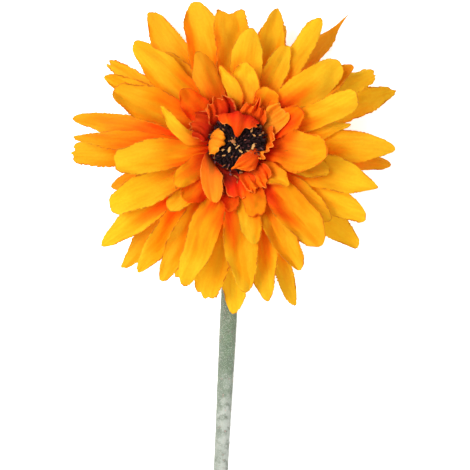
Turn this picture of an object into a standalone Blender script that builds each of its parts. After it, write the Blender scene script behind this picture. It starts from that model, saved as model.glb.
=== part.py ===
"""Gerbera daisy of cloth petals on a bent plastic stem, lying face up on a surface.

The stem lies along -Y on the surface at Z = 0 and bends up into the head.
The head has a frame of its own, with its origin in the middle of the rearmost
petal layer's hub and +Z forward along the head's axis. In that frame a bearing
runs anticlockwise from +X as seen from the front, a reach runs out from the
axis, and a height runs along it.
"""

import math
import random
from collections import namedtuple
from functools import partial

import bmesh
import bpy
from mathutils import Matrix, Vector

MM = 0.001
MERGE = 1e-6
SHARP_ANGLE = math.radians(40)

# Head
HEAD_TILT = math.radians(8)  # the head's axis leans this far from straight up towards +Y
SHEET = 0.6 * MM  # thickness of a petal
HUB_RADIUS = 9.5 * MM
HUB_THICKNESS = 1.0 * MM
HUB_PITCH = 1.3 * MM  # from one hub to the next along the head's axis
HUB_SIDES = 24
ROOT_SUNK = 2.5 * MM  # how far a petal's root runs into its hub
REACH_SCALE = 50 * MM  # the height curves are written for this reach past the hub
CUP = 0.16  # rise of a petal's edges over its middle, as a share of its half width
FRILL_CUP = 0.25  # the same for a frill petal
PETAL_COLUMNS = (-1.0, 0.0, 1.0)
PETAL_STATIONS = 7
SHORT_STATIONS = 5
SHORT_REACH = 32 * MM
FRILL_STATIONS = 6
STATION_CROWDING = 1.5  # at 1 a petal's stations stand evenly, above it closer towards the tip
FRILL_STEPS = 24  # straight steps along which a frill petal's bend is summed up

# Outline of a petal, as shares of its half width and of its length
CLAW_WIDTH = 0.34
CLAW_END = 0.6
TIP_START = 0.55
TIP_WIDTH = 0.28
TIP_FALL = 2.6
TIP_ROUNDNESS = 0.55

# Shares of a petal's length where it starts to leave its flat root, and where its roll and
# its cup are complete
ROOT_END = 0.1
ROLL_END = 0.7
CUP_END = 0.5

SURFACE_SOFTNESS = 0.8 * MM  # over this height a drooping petal bends to lie along the surface
SURFACE_SNAP = 0.15 * MM  # a petal's underside this near the surface lies flat on it

# Stem
STEM_REACH = 199 * MM  # from the head's axis to the cut end
STEM_RADIUS_NECK = 3.0 * MM
STEM_RADIUS_END = 2.55 * MM
TAPER_START = 56 * MM
TAPER_END = 115 * MM
NECK_BEND_RADIUS = 11 * MM
NECK_STRAIGHT = 12 * MM  # straight length along the head's axis, from the back hub to the bend
STEM_SEAT = -6.1 * MM  # the height where the stem ends, inside the calyx
STEM_SIDES = 12
LYING_STATIONS = 8
BEND_STATIONS = 9
BORE_RADIUS = 1.35 * MM
WIRE_RADIUS = 1.0 * MM
WIRE_SIDES = 8
WIRE_RECESS = 0.4 * MM  # the wire's cut end stands this far inside the stem's

# Calyx: a (reach, height) profile in millimetres, and its two rows of bracts, each with
# its half width at the foot and its own (reach, height) line
CALYX_SIDES = 22
CALYX_PROFILE = (
    (1.35, -0.8),
    (9.0, -0.8),
    (9.5, -1.6),
    (9.0, -3.8),
    (7.4, -6.6),
    (5.4, -8.8),
    (4.6, -10.0),
    (3.4, -10.0),
    (3.4, -5.8),
    (1.35, -5.8),
)
BRACTS = 11
BRACT_SHEET = 0.9 * MM
BRACT_TAPER = 0.28  # share of the half width that is lost from one station to the next
BRACT_ROWS = (
    (2.0, ((6.0, -7.2), (9.0, -4.6), (10.6, -3.0), (12.6, -2.2))),
    (1.6, ((4.6, -8.6), (7.6, -6.9), (9.3, -5.6), (10.8, -4.9))),
)

# Centre
DISC_RADIUS = 9.2 * MM
DISC_SIDE = 0.8 * MM
DISC_RISE = 5.0 * MM
DISC_GAP = 0.3 * MM
DISC_SOCKET = 2.6 * MM
DISC_CHAMFER = 0.4 * MM
DISC_SIDES = 20
DISC_RINGS = 5
FLORETS = 96
FLORET_SEED = 7
FLORET_RADIUS = 0.75 * MM
FLORET_LENGTH = 2.9 * MM
FLORET_EXTRA = 1.1 * MM  # the longest florets are this much longer
FLORET_SUNK = 0.2 * MM
FLORET_BED = (0.9, 0.86)  # the florets' feet keep to these shares of the dome's radius and rise
FLORET_SPLAY = 0.75  # outward lean of the outermost florets, as a share of their length
FLORET_DROOP = 0.35  # share of their height that the outermost florets lose
GOLDEN_ANGLE = 180 * (3 - math.sqrt(5))

# Finish: base colour, roughness and how metallic it is
CLOTH_ROUGHNESS = 0.75
FRILL_FINISH = ((0.80, 0.17, 0.008), CLOTH_ROUGHNESS, 0.0)
CENTRE_FINISH = ((0.022, 0.008, 0.006), 0.9, 0.0)
PLASTIC_FINISH = ((0.16, 0.25, 0.11), 0.55, 0.0)
COAT_FINISH = ((0.33, 0.39, 0.28), 0.85, 0.0)
STEEL_FINISH = ((0.45, 0.45, 0.46), 0.35, 1.0)

# A petal's bearing and reach, in degrees and millimetres, are those of its tip as seen
# from straight above. Lift is how far its tip is bent forward of its layer, in
# millimetres, and roll how far it is turned about its own length, in degrees.
Petal = namedtuple("Petal", "bearing reach width lift roll", defaults=(0, 0))

# The roots of a layer's petals stand evenly round its hub, the first at first_root
# degrees. The curve gives the height over the hub, in millimetres, as the factors of the
# first and second power of the reach past the hub in REACH_SCALE.
Layer = namedtuple("Layer", "name colour curve first_root petals")

LAYERS = (
    Layer("petals_1_back", (0.83, 0.29, 0.006), (0, -22), 18, (
        Petal(22, 60, 10.5, 0, 6),
        Petal(53, 60, 7.5, 1, 20),
        Petal(72, 47, 8.0, 0, 6),
        Petal(97, 46, 9.0, 0, 8),
        Petal(124, 57, 10.5, 1, 5),
        Petal(148, 56, 8.0, 0, 12),
        Petal(172, 58.5, 7.5, 0, 12),
        Petal(200, 46, 8.0, 2, 16),
        Petal(229, 58, 9.0, 0, 8),
        Petal(248, 50, 9.0, 0, 6),
        Petal(269.5, 57.5, 9.0, 2, 6),
        Petal(292, 59, 7.5, 0, 16),
        Petal(323, 54.5, 10.0, 0, 6),
        Petal(355, 54, 6.5, 1, 18),
    )),
    Layer("petals_2", (0.86, 0.32, 0.007), (4, -12), 4.5, (
        Petal(3, 55, 10.0, 1, 6),
        Petal(32, 55, 8.5, 0, 10),
        Petal(59.5, 54.5, 8.0, 2, 8),
        Petal(76, 51, 10.5, 1, 8),
        Petal(108, 53, 10.5, 1, 6),
        Petal(130, 42, 9.5, 0, 6),
        Petal(153, 53, 9.0, 1, 12),
        Petal(185, 58, 11.0, 1, 5),
        Petal(216, 57, 10.0, 0, 8),
        Petal(234, 54.5, 9.5, 0, 8),
        Petal(261, 53, 10.0, 0, 8),
        Petal(284, 54.5, 10.0, 0, 8),
        Petal(310, 42, 10.0, -1, 6),
        Petal(337, 50.5, 10.0, 1, 6),
    )),
    Layer("petals_3", (0.88, 0.34, 0.008), (9, -8), 15, (
        Petal(14.5, 40.5, 9.0, -1, 10),
        Petal(39, 49.5, 9.0, 1, 14),
        Petal(66, 40, 9.5, -1, 6),
        Petal(95.5, 48.5, 11.5, 0, 6),
        Petal(136, 51, 12.0, 1, 4),
        Petal(157, 38, 8.0, -1, 6),
        Petal(178.5, 57, 7.5, 2, 18),
        Petal(208, 49.5, 11.0, 1, 6),
        Petal(243, 53, 10.0, 1, 8),
        Petal(277, 50, 12.0, 0, 5),
        Petal(300, 46.5, 9.5, 1, 8),
        Petal(325, 41, 10.0, -1, 6),
        Petal(347, 50.5, 11.0, 1, 6),
    )),
    Layer("petals_4_front", (0.91, 0.38, 0.010), (15, -6), 20, (
        Petal(25.5, 45, 9.5, 2, 13),
        Petal(43, 47.5, 12.0, 0, 9),
        Petal(86.5, 42, 11.5, 1, 4),
        Petal(116, 36, 9.0, 0, 8),
        Petal(157, 46.5, 12.0, 1, 4),
        Petal(190.5, 42.5, 11.0, 2, 5),
        Petal(222, 34, 9.0, 0, 8),
        Petal(252, 51, 11.0, 1, 8),
        Petal(283, 34, 8.0, 0, 8),
        Petal(315, 43, 12.0, 1, 6),
        Petal(350, 33, 10.0, 0, 6),
    )),
    Layer("petals_5_inner", (0.88, 0.31, 0.008), (30, -4), -8, (
        Petal(-3, 31, 14.0, 3, 0),
        Petal(32, 25, 9.0, 0, -6),
        Petal(59, 21, 7.0, -1, 4),
        Petal(87, 29.5, 10.5, 1, 0),
        Petal(103, 28, 7.0, 4, -36),
        Petal(136, 24, 9.0, 0, -4),
        Petal(158, 29.5, 8.0, 4, -36),
        Petal(205, 24, 9.0, 0, 6),
        Petal(237, 23, 9.0, 1, 8),
        Petal(270, 24, 9.0, 0, 8),
        Petal(301, 26, 9.0, 1, 6),
        Petal(324, 22, 7.0, -1, 5),
    )),
)

# A frill petal stands up round the centre. Its length and width are in millimetres,
# and its slopes, at the root and at the tip, in degrees from the hub's plane. Past
# 90 degrees it folds in over the centre.
Frill = namedtuple("Frill", "bearing length width slope_root slope_tip")

FRILLS = (
    Frill(0, 12.0, 6.5, 34, 122),
    Frill(32, 13.5, 7.5, 36, 72),
    Frill(62, 14.0, 7.5, 38, 86),
    Frill(92, 18.0, 9.0, 44, 174),
    Frill(123, 13.5, 7.0, 34, 84),
    Frill(152, 13.0, 6.5, 42, 84),
    Frill(179, 15.5, 8.0, 44, 156),
    Frill(207, 13.5, 7.5, 38, 84),
    Frill(238, 15.0, 8.5, 32, 60),
    Frill(269, 13.5, 7.0, 42, 86),
    Frill(299, 14.0, 7.5, 32, 84),
    Frill(324, 17.0, 8.0, 48, 154),
)

DISC_LEVEL = HUB_PITCH * len(LAYERS) + HUB_THICKNESS / 2 + DISC_GAP
HUB_CENTRE = Vector((0, 0, (
    STEM_RADIUS_NECK
    + NECK_BEND_RADIUS * (1 - math.sin(HEAD_TILT))
    + NECK_STRAIGHT * math.cos(HEAD_TILT)
)))
HEAD_FRAME = Matrix.Translation(HUB_CENTRE) @ Matrix.Rotation(-HEAD_TILT, 4, "X")
STRAIGHT_UP = HEAD_FRAME.to_3x3().inverted() @ Vector((0, 0, 1))  # in the head's frame


def smooth(low, high, value):
    """0 below low, 1 above high, and an even curve between them."""
    share = min(1.0, max(0.0, (value - low) / (high - low)))
    return share * share * (3 - 2 * share)


def plan(bearing, reach, height=0.0):
    """The point at a bearing in degrees, a reach and a height, in the head's frame."""
    turn = math.radians(bearing)
    return Vector((math.cos(turn) * reach, math.sin(turn) * reach, height))


def clearance(point):
    """How far a point in the head's frame is above the surface."""
    return (HEAD_FRAME @ point).z


def over_surface(point):
    """The point, lifted smoothly where it would come nearer the surface than half a petal."""
    spare = (clearance(point) - SHEET / 2) / SURFACE_SOFTNESS
    return point + STRAIGHT_UP * SURFACE_SOFTNESS * math.log1p(math.exp(-spare))


def width_share(share):
    """A petal's half width along its length, from a narrow claw to a rounded tip."""
    body = CLAW_WIDTH + (1 - CLAW_WIDTH) * smooth(0.0, CLAW_END, share)
    past = min(1.0, max(0.0, (share - TIP_START) / (1 - TIP_START)))
    return body * max(TIP_WIDTH, (1 - past ** TIP_FALL) ** TIP_ROUNDNESS)


def petal_shares(length, stations):
    """Shares of a petal's length for its cross sections: at its root, then from the hub's
    rim outwards, closer together towards the tip."""
    rim = ROOT_SUNK / length
    steps = [index / (stations - 1) for index in range(stations)]
    return [0.0] + [rim + (1 - rim) * (1 - (1 - step) ** STATION_CROWDING) for step in steps]


def layer_height(level, curve, reach):
    """The height of a spread layer at a reach."""
    outward = max(0.0, reach - HUB_RADIUS) / REACH_SCALE
    return level + MM * (curve[0] * outward + curve[1] * outward ** 2)


def seen_from_above(bearing, reach, height):
    """The point at this height which is seen from straight above at this bearing and reach."""
    point = plan(bearing, reach, height)
    point.y = (point.y - height * math.sin(HEAD_TILT)) / math.cos(HEAD_TILT)
    return point


def petal_point(level, curve, root_bearing, petal, share, column):
    """A point on the middle surface of a spread petal, at shares of its length and half width."""
    reach = petal.reach * MM
    root = plan(root_bearing, HUB_RADIUS - ROOT_SUNK)
    tip = seen_from_above(
        petal.bearing, reach, layer_height(level, curve, reach) + petal.lift * MM
    )
    tip.z = 0.0
    point = root.lerp(tip, share)
    side = Vector((root.y - tip.y, tip.x - root.x, 0)).normalized()
    turned = math.radians(petal.roll) * smooth(ROOT_END, ROLL_END, share)
    half = petal.width * MM / 2 * width_share(share)
    point.z = (
        layer_height(level, curve, point.length)
        + MM * petal.lift * smooth(ROOT_END, 1.0, share)
        + half * column * math.sin(turned)
        + half * CUP * (column ** 2 - 0.5) * smooth(ROOT_END, CUP_END, share)
    )
    return over_surface(point + side * half * column * math.cos(turned))


def frill_point(level, root_bearing, frill, share, column):
    """A point on the middle surface of a frill petal, at shares of its length and half width."""
    length = frill.length * MM
    walked = share * (length + ROOT_SUNK) - ROOT_SUNK
    reach, height = HUB_RADIUS + min(0.0, walked), level
    stride = max(0.0, walked) / FRILL_STEPS
    for index in range(FRILL_STEPS):
        along = (index + 0.5) * stride / length
        slope = math.radians(frill.slope_root + (frill.slope_tip - frill.slope_root) * along)
        reach += stride * math.cos(slope)
        height += stride * math.sin(slope)
    bearing = root_bearing + (frill.bearing - root_bearing) * share
    half = frill.width * MM / 2 * width_share(share)
    curl = half * FRILL_CUP * smooth(2 * ROOT_END, 0.8, share) * column ** 2
    return plan(bearing, reach - curl, height) + plan(bearing + 90, half * column)


def grid_faces(rows, columns):
    """Triangles of a closed sheet whose front grid of points is followed by its back grid."""
    back = rows * columns
    faces = []
    for row in range(rows - 1):
        for column in range(columns - 1):
            a = row * columns + column
            b, c, d = a + 1, a + columns + 1, a + columns
            faces += [(a, b, c), (a, c, d)]
            faces += [(back + c, back + b, back + a), (back + d, back + c, back + a)]
    rim = list(range(columns))
    rim += [row * columns + columns - 1 for row in range(1, rows)]
    rim += [(rows - 1) * columns + column for column in range(columns - 2, -1, -1)]
    rim += [row * columns for row in range(rows - 2, 0, -1)]
    for here, there in zip(rim, rim[1:] + rim[:1]):
        faces += [(here, back + here, back + there), (here, back + there, there)]
    return faces


def sheet_mesh(name, middle, thickness):
    """A closed sheet of even thickness about a grid of middle points, rows from root to tip."""
    rows, columns = len(middle), len(middle[0])
    front, back = [], []
    for row in range(rows):
        for column in range(columns):
            along = middle[min(row + 1, rows - 1)][column] - middle[max(row - 1, 0)][column]
            across = middle[row][min(column + 1, columns - 1)] - middle[row][max(column - 1, 0)]
            half = along.cross(across).normalized() * thickness / 2
            over = middle[row][column] + half
            under = middle[row][column] - half
            if clearance(under) < SURFACE_SNAP:
                under -= STRAIGHT_UP * clearance(under)
                over += STRAIGHT_UP * max(0.0, thickness - clearance(over))
            front.append(over)
            back.append(under)
    mesh = bpy.data.meshes.new(name)
    mesh.from_pydata(front + back, [], grid_faces(rows, columns))
    return finished(mesh)


def finished(mesh):
    """The mesh with its faces turned outwards and its round surfaces shaded smooth."""
    shell = bmesh.new()
    shell.from_mesh(mesh)
    bmesh.ops.recalc_face_normals(shell, faces=shell.faces)
    shell.to_mesh(mesh)
    shell.free()
    mesh.shade_smooth()
    mesh.set_sharp_from_angle(angle=SHARP_ANGLE)
    return mesh


def turned_mesh(name, profile, sides):
    """A solid turned from a (reach, height) profile about the head's axis. The profile is
    closed, or both its ends are on the axis."""
    shell = bmesh.new()
    points = [shell.verts.new((reach, 0, height)) for reach, height in profile]
    pairs = list(zip(points, points[1:]))
    if profile[0][0] > 0:
        pairs.append((points[-1], points[0]))
    edges = [shell.edges.new(pair) for pair in pairs]
    bmesh.ops.spin(
        shell, geom=points + edges, cent=(0, 0, 0), axis=(0, 0, 1),
        angle=2 * math.pi, steps=sides, use_merge=True,
    )
    bmesh.ops.remove_doubles(shell, verts=shell.verts, dist=MERGE)
    mesh = bpy.data.meshes.new(name)
    shell.to_mesh(mesh)
    shell.free()
    return finished(mesh)


def tube_mesh(name, path, radii, sides, bore=None):
    """A round bar along a path in the YZ plane, or a tube if it has a bore."""
    shell = bmesh.new()
    right = Vector((1, 0, 0))
    outer, inner = [], []
    for index, point in enumerate(path):
        along = path[min(index + 1, len(path) - 1)] - path[max(index - 1, 0)]
        down = along.cross(right).normalized()
        for rings, radius in ((outer, radii[index]), (inner, bore)):
            turns = [2 * math.pi * side / sides for side in range(sides)] if radius else []
            rings.append([
                shell.verts.new(point + (down * math.cos(turn) + right * math.sin(turn)) * radius)
                for turn in turns
            ])

    def join(first, second):
        for here in range(sides):
            there = (here + 1) % sides
            shell.faces.new((first[here], first[there], second[there], second[here]))

    for first, second in zip(outer, outer[1:]):
        join(first, second)
    if bore:
        for first, second in zip(inner, inner[1:]):
            join(first, second)
        join(outer[0], inner[0])
        join(outer[-1], inner[-1])
    else:
        shell.faces.new(outer[0])
        shell.faces.new(outer[-1])
    mesh = bpy.data.meshes.new(name)
    shell.to_mesh(mesh)
    shell.free()
    return finished(mesh)


def stem_path(top_height, recess=0.0):
    """(path, radii) of the stem's centre line, from its cut end to a height on the head's axis."""
    bend_start_y = -NECK_STRAIGHT * math.sin(HEAD_TILT) - NECK_BEND_RADIUS * math.cos(HEAD_TILT)
    path, radii = [], []
    for index in range(LYING_STATIONS + 1):
        y = -STEM_REACH + recess + (bend_start_y + STEM_REACH - recess) * index / LYING_STATIONS
        slim = smooth(TAPER_START, TAPER_END, -y)
        radius = STEM_RADIUS_NECK + (STEM_RADIUS_END - STEM_RADIUS_NECK) * slim
        path.append(Vector((0, y, radius)))
        radii.append(radius)
    for index in range(1, BEND_STATIONS + 1):
        turn = (math.pi / 2 - HEAD_TILT) * index / BEND_STATIONS
        path.append(Vector((
            0,
            bend_start_y + NECK_BEND_RADIUS * math.sin(turn),
            STEM_RADIUS_NECK + NECK_BEND_RADIUS * (1 - math.cos(turn)),
        )))
        radii.append(STEM_RADIUS_NECK)
    path.append(HEAD_FRAME @ Vector((0, 0, top_height)))
    radii.append(STEM_RADIUS_NECK)
    return path, radii


def material(name, colour, roughness, metallic):
    made = bpy.data.materials.new(name)
    made.use_nodes = True
    shader = made.node_tree.nodes["Principled BSDF"]
    shader.inputs["Base Color"].default_value = (*colour, 1)
    shader.inputs["Roughness"].default_value = roughness
    shader.inputs["Metallic"].default_value = metallic
    return made


def add_object(name, mesh, finish, parent, level=0.0):
    """An object on its parent, with its own origin at a height along the parent's +Z."""
    made = bpy.data.objects.new(name, mesh)
    bpy.context.scene.collection.objects.link(made)
    mesh.transform(Matrix.Translation((0, 0, -level)))
    mesh.materials.clear()
    mesh.materials.append(finish)
    made.parent = parent
    made.location = (0, 0, level)
    return made


def fused(name, base_mesh, more_meshes):
    """One mesh: the base with every other mesh joined to it."""
    group = bpy.data.collections.new(name)
    bpy.context.scene.collection.children.link(group)
    for mesh in more_meshes:
        group.objects.link(bpy.data.objects.new("piece", mesh))
    base = bpy.data.objects.new(name, base_mesh)
    bpy.context.scene.collection.objects.link(base)
    union = base.modifiers.new("join", "BOOLEAN")
    union.operation = "UNION"
    union.operand_type = "COLLECTION"
    union.collection = group
    union.solver = "MANIFOLD"
    bpy.context.view_layer.update()
    graph = bpy.context.evaluated_depsgraph_get()
    joined = bpy.data.meshes.new_from_object(base.evaluated_get(graph))
    for piece in [base] + list(group.objects):
        bpy.data.objects.remove(piece)
    bpy.data.collections.remove(group)
    joined.name = name
    return finished(joined)


def hub_mesh(level):
    low, high = level - HUB_THICKNESS / 2, level + HUB_THICKNESS / 2
    profile = [(BORE_RADIUS, low), (HUB_RADIUS, low), (HUB_RADIUS, high), (BORE_RADIUS, high)]
    return turned_mesh("hub", profile, HUB_SIDES)


def blade_mesh(point_at, length, stations):
    """A petal's sheet, from the function that gives its middle surface."""
    shares = petal_shares(length, stations)
    middle = [[point_at(share, column) for column in PETAL_COLUMNS] for share in shares]
    return sheet_mesh("blade", middle, SHEET)


def layer_blades(level, layer):
    """The petals of one spread layer."""
    blades = []
    for slot, petal in enumerate(layer.petals):
        root_bearing = layer.first_root + 360 * slot / len(layer.petals)
        length = petal.reach * MM - HUB_RADIUS + ROOT_SUNK
        stations = PETAL_STATIONS if petal.reach * MM > SHORT_REACH else SHORT_STATIONS
        point_at = partial(petal_point, level, layer.curve, root_bearing, petal)
        blades.append(blade_mesh(point_at, length, stations))
    return blades


def frill_blades(level):
    """The petals of the ruffled layer that stands round the centre."""
    blades = []
    for slot, frill in enumerate(FRILLS):
        point_at = partial(frill_point, level, 360 * slot / len(FRILLS), frill)
        blades.append(blade_mesh(point_at, frill.length * MM + ROOT_SUNK, FRILL_STATIONS))
    return blades


def spike_mesh(foot, tip):
    """A slim four-sided spike, for one floret."""
    across = (tip - foot).orthogonal().normalized() * FLORET_RADIUS
    beside = (tip - foot).cross(across).normalized() * FLORET_RADIUS
    corners = [foot + across, foot + beside, foot - across, foot - beside]
    mesh = bpy.data.meshes.new("spike")
    mesh.from_pydata(
        corners + [tip], [], [(3, 2, 1, 0), (0, 1, 4), (1, 2, 4), (2, 3, 4), (3, 0, 4)]
    )
    return finished(mesh)


def disc_mesh(level):
    """The dark centre: a low dome that its florets stand out of, with a blind hole for the wire."""
    draw = random.Random(FLORET_SEED)
    dome_foot = level + DISC_SIDE
    profile = [
        (0.0, level + DISC_SOCKET),
        (BORE_RADIUS, level + DISC_SOCKET),
        (BORE_RADIUS, level),
        (DISC_RADIUS - DISC_CHAMFER, level),
    ]
    for ring in range(DISC_RINGS + 1):
        turn = math.pi / 2 * ring / DISC_RINGS
        reach = DISC_RADIUS * math.cos(turn) if ring < DISC_RINGS else 0.0
        profile.append((reach, dome_foot + DISC_RISE * math.sin(turn)))
    spikes = []
    for index in range(FLORETS):
        out = math.sqrt((index + 0.5) / FLORETS)
        bearing = index * GOLDEN_ANGLE
        length = FLORET_LENGTH + FLORET_EXTRA * draw.random()
        reach = DISC_RADIUS * out * FLORET_BED[0]
        height = dome_foot + DISC_RISE * math.sqrt(1 - out ** 2) * FLORET_BED[1] - FLORET_SUNK
        foot = plan(bearing, reach, height)
        tip = plan(
            bearing, reach + FLORET_SPLAY * length * out, height + length * (1 - FLORET_DROOP * out)
        )
        spikes.append(spike_mesh(foot, tip))
    return fused("disc_florets", turned_mesh("disc", profile, DISC_SIDES), spikes)


def calyx_mesh():
    """The green cup that carries the petal layers, with two rows of pointed bracts."""
    profile = [(reach * MM, height * MM) for reach, height in CALYX_PROFILE]
    cup = turned_mesh("cup", profile, CALYX_SIDES)
    bracts = []
    for row, (half, line) in enumerate(BRACT_ROWS):
        for index in range(BRACTS):
            bearing = 360 * (index + row / 2) / BRACTS
            middle = []
            for station, (reach, height) in enumerate(line):
                point = plan(bearing, reach * MM, height * MM)
                side = plan(bearing + 90, half * MM * (1 - BRACT_TAPER * station))
                middle.append([point + side * column for column in PETAL_COLUMNS])
            bracts.append(sheet_mesh("bract", middle, BRACT_SHEET))
    return fused("calyx", cup, bracts)


def add_empty(name, parent=None):
    made = bpy.data.objects.new(name, None)
    bpy.context.scene.collection.objects.link(made)
    made.parent = parent
    return made


def centre_bounds(origin, objects):
    """Moves the origin so that the middle of the objects' bounds stands over the world's."""
    bpy.context.view_layer.update()
    points = [item.matrix_world @ vertex.co for item in objects for vertex in item.data.vertices]
    for axis in (0, 1):
        across = [point[axis] for point in points]
        origin.location[axis] = -(min(across) + max(across)) / 2


def build_spread_petals(head):
    """The five spread layers of petals, from the back one to the front one."""
    objects = []
    for index, layer in enumerate(LAYERS):
        level = HUB_PITCH * index
        cloth = material(layer.name + "_cloth", layer.colour, CLOTH_ROUGHNESS, 0.0)
        mesh = fused(layer.name, hub_mesh(level), layer_blades(level, layer))
        objects.append(add_object(layer.name, mesh, cloth, head, level))
    return objects


def build_frill(head):
    """The ruffled layer in front of the spread ones."""
    level = HUB_PITCH * len(LAYERS)
    mesh = fused("petals_6_frill", hub_mesh(level), frill_blades(level))
    return add_object("petals_6_frill", mesh, material("frill_cloth", *FRILL_FINISH), head, level)


def build_disc(head):
    """The dark centre in front of the frill."""
    flock = material("centre_flock", *CENTRE_FINISH)
    return add_object("disc_florets", disc_mesh(DISC_LEVEL), flock, head, DISC_LEVEL)


def build_calyx(head):
    """The green cup behind the petals."""
    return add_object("calyx", calyx_mesh(), material("calyx_plastic", *PLASTIC_FINISH), head)


def build_sleeve(flower):
    """The stem's grey-green sleeve, up to its seat in the cup."""
    path, radii = stem_path(STEM_SEAT)
    sleeve = tube_mesh("stem_sleeve", path, radii, STEM_SIDES, BORE_RADIUS)
    return add_object("stem_sleeve", sleeve, material("stem_flock", *COAT_FINISH), flower)


def build_wire(flower):
    """The stem's steel core, up to the end of its socket in the dark centre."""
    path, radii = stem_path(DISC_LEVEL + DISC_SOCKET - DISC_GAP, WIRE_RECESS)
    wire = tube_mesh("stem_wire", path, [WIRE_RADIUS] * len(path), WIRE_SIDES)
    return add_object("stem_wire", wire, material("wire_steel", *STEEL_FINISH), flower)


def main():
    for item in list(bpy.data.objects):
        bpy.data.objects.remove(item)
    flower = add_empty("flower_origin")
    head = add_empty("head_origin", flower)
    head.location = HUB_CENTRE
    head.rotation_euler = (-HEAD_TILT, 0, 0)
    objects = build_spread_petals(head)
    objects += [build_frill(head), build_disc(head), build_calyx(head)]
    objects += [build_sleeve(flower), build_wire(flower)]
    centre_bounds(flower, objects)


if __name__ == "__main__":
    main()
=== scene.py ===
"""The looks of the cloth gerbera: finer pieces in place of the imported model's solids, with
their materials, a pale floor, soft light and the photo's camera.

Lengths are in metres in the model's frame, where the flower lies on the surface at Z = 0.
The head has a frame of its own, with its origin in the middle of the rearmost petal
layer's hub and +Z forward along the head's axis. In that frame a bearing runs
anticlockwise from +X as seen from the front, a reach runs out from the axis, and a height
runs along it. A petal's grid has its rows from root to tip and its columns from one
border, at -1, to the other, at 1.
"""

import math
from collections import namedtuple

import bpy
import numpy as np
from mathutils import Matrix, Vector


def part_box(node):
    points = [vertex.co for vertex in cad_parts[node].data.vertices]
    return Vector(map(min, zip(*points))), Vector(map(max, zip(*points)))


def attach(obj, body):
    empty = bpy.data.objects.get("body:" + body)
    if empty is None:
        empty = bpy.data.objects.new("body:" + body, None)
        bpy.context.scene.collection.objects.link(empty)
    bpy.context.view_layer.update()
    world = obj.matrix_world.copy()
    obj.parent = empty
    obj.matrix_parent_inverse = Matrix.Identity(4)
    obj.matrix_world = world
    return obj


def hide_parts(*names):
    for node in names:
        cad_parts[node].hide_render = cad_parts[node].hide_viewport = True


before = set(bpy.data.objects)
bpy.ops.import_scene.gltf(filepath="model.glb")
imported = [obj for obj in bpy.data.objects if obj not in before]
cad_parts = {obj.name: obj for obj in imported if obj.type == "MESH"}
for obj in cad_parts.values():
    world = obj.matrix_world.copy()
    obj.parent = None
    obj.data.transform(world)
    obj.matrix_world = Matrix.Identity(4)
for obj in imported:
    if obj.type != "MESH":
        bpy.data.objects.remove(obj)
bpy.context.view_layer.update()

MM = 0.001
BODY = "root"
SHARP_ANGLE = math.radians(50)

# Head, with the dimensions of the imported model
HEAD_TILT = math.radians(8)
HUB_RADIUS = 9.5 * MM
HUB_THICKNESS = 1.0 * MM
HUB_PITCH = 1.3 * MM
HUB_SIDES = 96
ROOT_SUNK = 2.5 * MM  # how far the petals' roots reach in over the hub
REACH_SCALE = 50 * MM  # the unit of reach in a layer's curve
CUP = 0.16
SURFACE_SOFTNESS = 0.8 * MM  # how gently a petal bends away from the surface it comes near

# Centre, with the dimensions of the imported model
DISC_RADIUS = 9.2 * MM
DISC_SIDE = 0.8 * MM
DISC_RISE = 5.0 * MM
DISC_GAP = 0.3 * MM
DISC_SOCKET = 2.6 * MM
DISC_CHAMFER = 0.4 * MM
DOME_RINGS = 14
DOME_SIDES = 72
GOLDEN_ANGLE = 180 * (3 - math.sqrt(5))
FLORETS = 640
FLORET_OUTLINE = (0.216, 0.24, 0.228, 0.276, 0.216, 0.072)  # radii in mm, from foot to tip
FLORET_LENGTHS = (1.7 * MM, 3.3 * MM)
FLORET_SINK = 0.4 * MM
FLORET_LEAN = 1.1  # how far the outermost lean out, for each unit they rise
FLAKE_FLOAT = 2.2 * MM  # the middle of a flake over the dome
FLAKE_CURL = 0.3 * MM
FLAKE_TRIM = 0.8  # a ragged flake is this much narrower than its widest place

# Cup and its two rows of bracts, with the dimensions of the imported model: (reach,
# height) pairs in millimetres, and for each row the half width at the foot as well
CALYX_PROFILE = (
    (1.35, -0.8), (1.35, -5.8), (3.4, -5.8), (3.4, -10.0), (4.6, -10.0),
    (5.4, -8.8), (7.4, -6.6), (9.0, -3.8), (9.5, -1.6), (9.0, -0.8),
)
PROFILE_STEP = 0.8 * MM
CUP_SIDES = 132
BRACTS = 11
BRACT_GRID = (26, 11)  # rows and columns
BRACT_THICKNESS = 0.6 * MM
BRACT_RIB = 0.22 * MM
BRACT_CURL = 0.35 * MM
BRACT_HOLLOW = 0.3 * MM
BRACT_ROWS = (
    (2.0, ((6.0, -7.2), (9.0, -4.6), (10.6, -3.0), (12.6, -2.2))),
    (1.6, ((4.6, -8.6), (7.6, -6.9), (9.3, -5.6), (10.8, -4.9))),
)

# Stem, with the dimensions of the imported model
STEM_REACH = 199 * MM
STEM_RADIUS_NECK = 3.0 * MM
STEM_RADIUS_END = 2.55 * MM
TAPER_START = 56 * MM
TAPER_END = 115 * MM
NECK_BEND_RADIUS = 11 * MM
NECK_STRAIGHT = 12 * MM
STEM_SEAT = -6.1 * MM
BORE_RADIUS = 1.35 * MM
CORE_RADIUS = 1.0 * MM
CORE_RECESS = 0.4 * MM
LYING_STEPS = 240  # points along the lying part of the stem, its bend and its neck
BEND_STEPS = 30
NECK_STEPS = 12
STEM_SIDES = 64
CORE_SIDES = 24
GRIT = 0.012  # roughness of the coat, as a share of the stem's radius
FLAT_FOOT = 0.2 * MM  # the coat stays smooth below this height, where the stem lies

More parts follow.
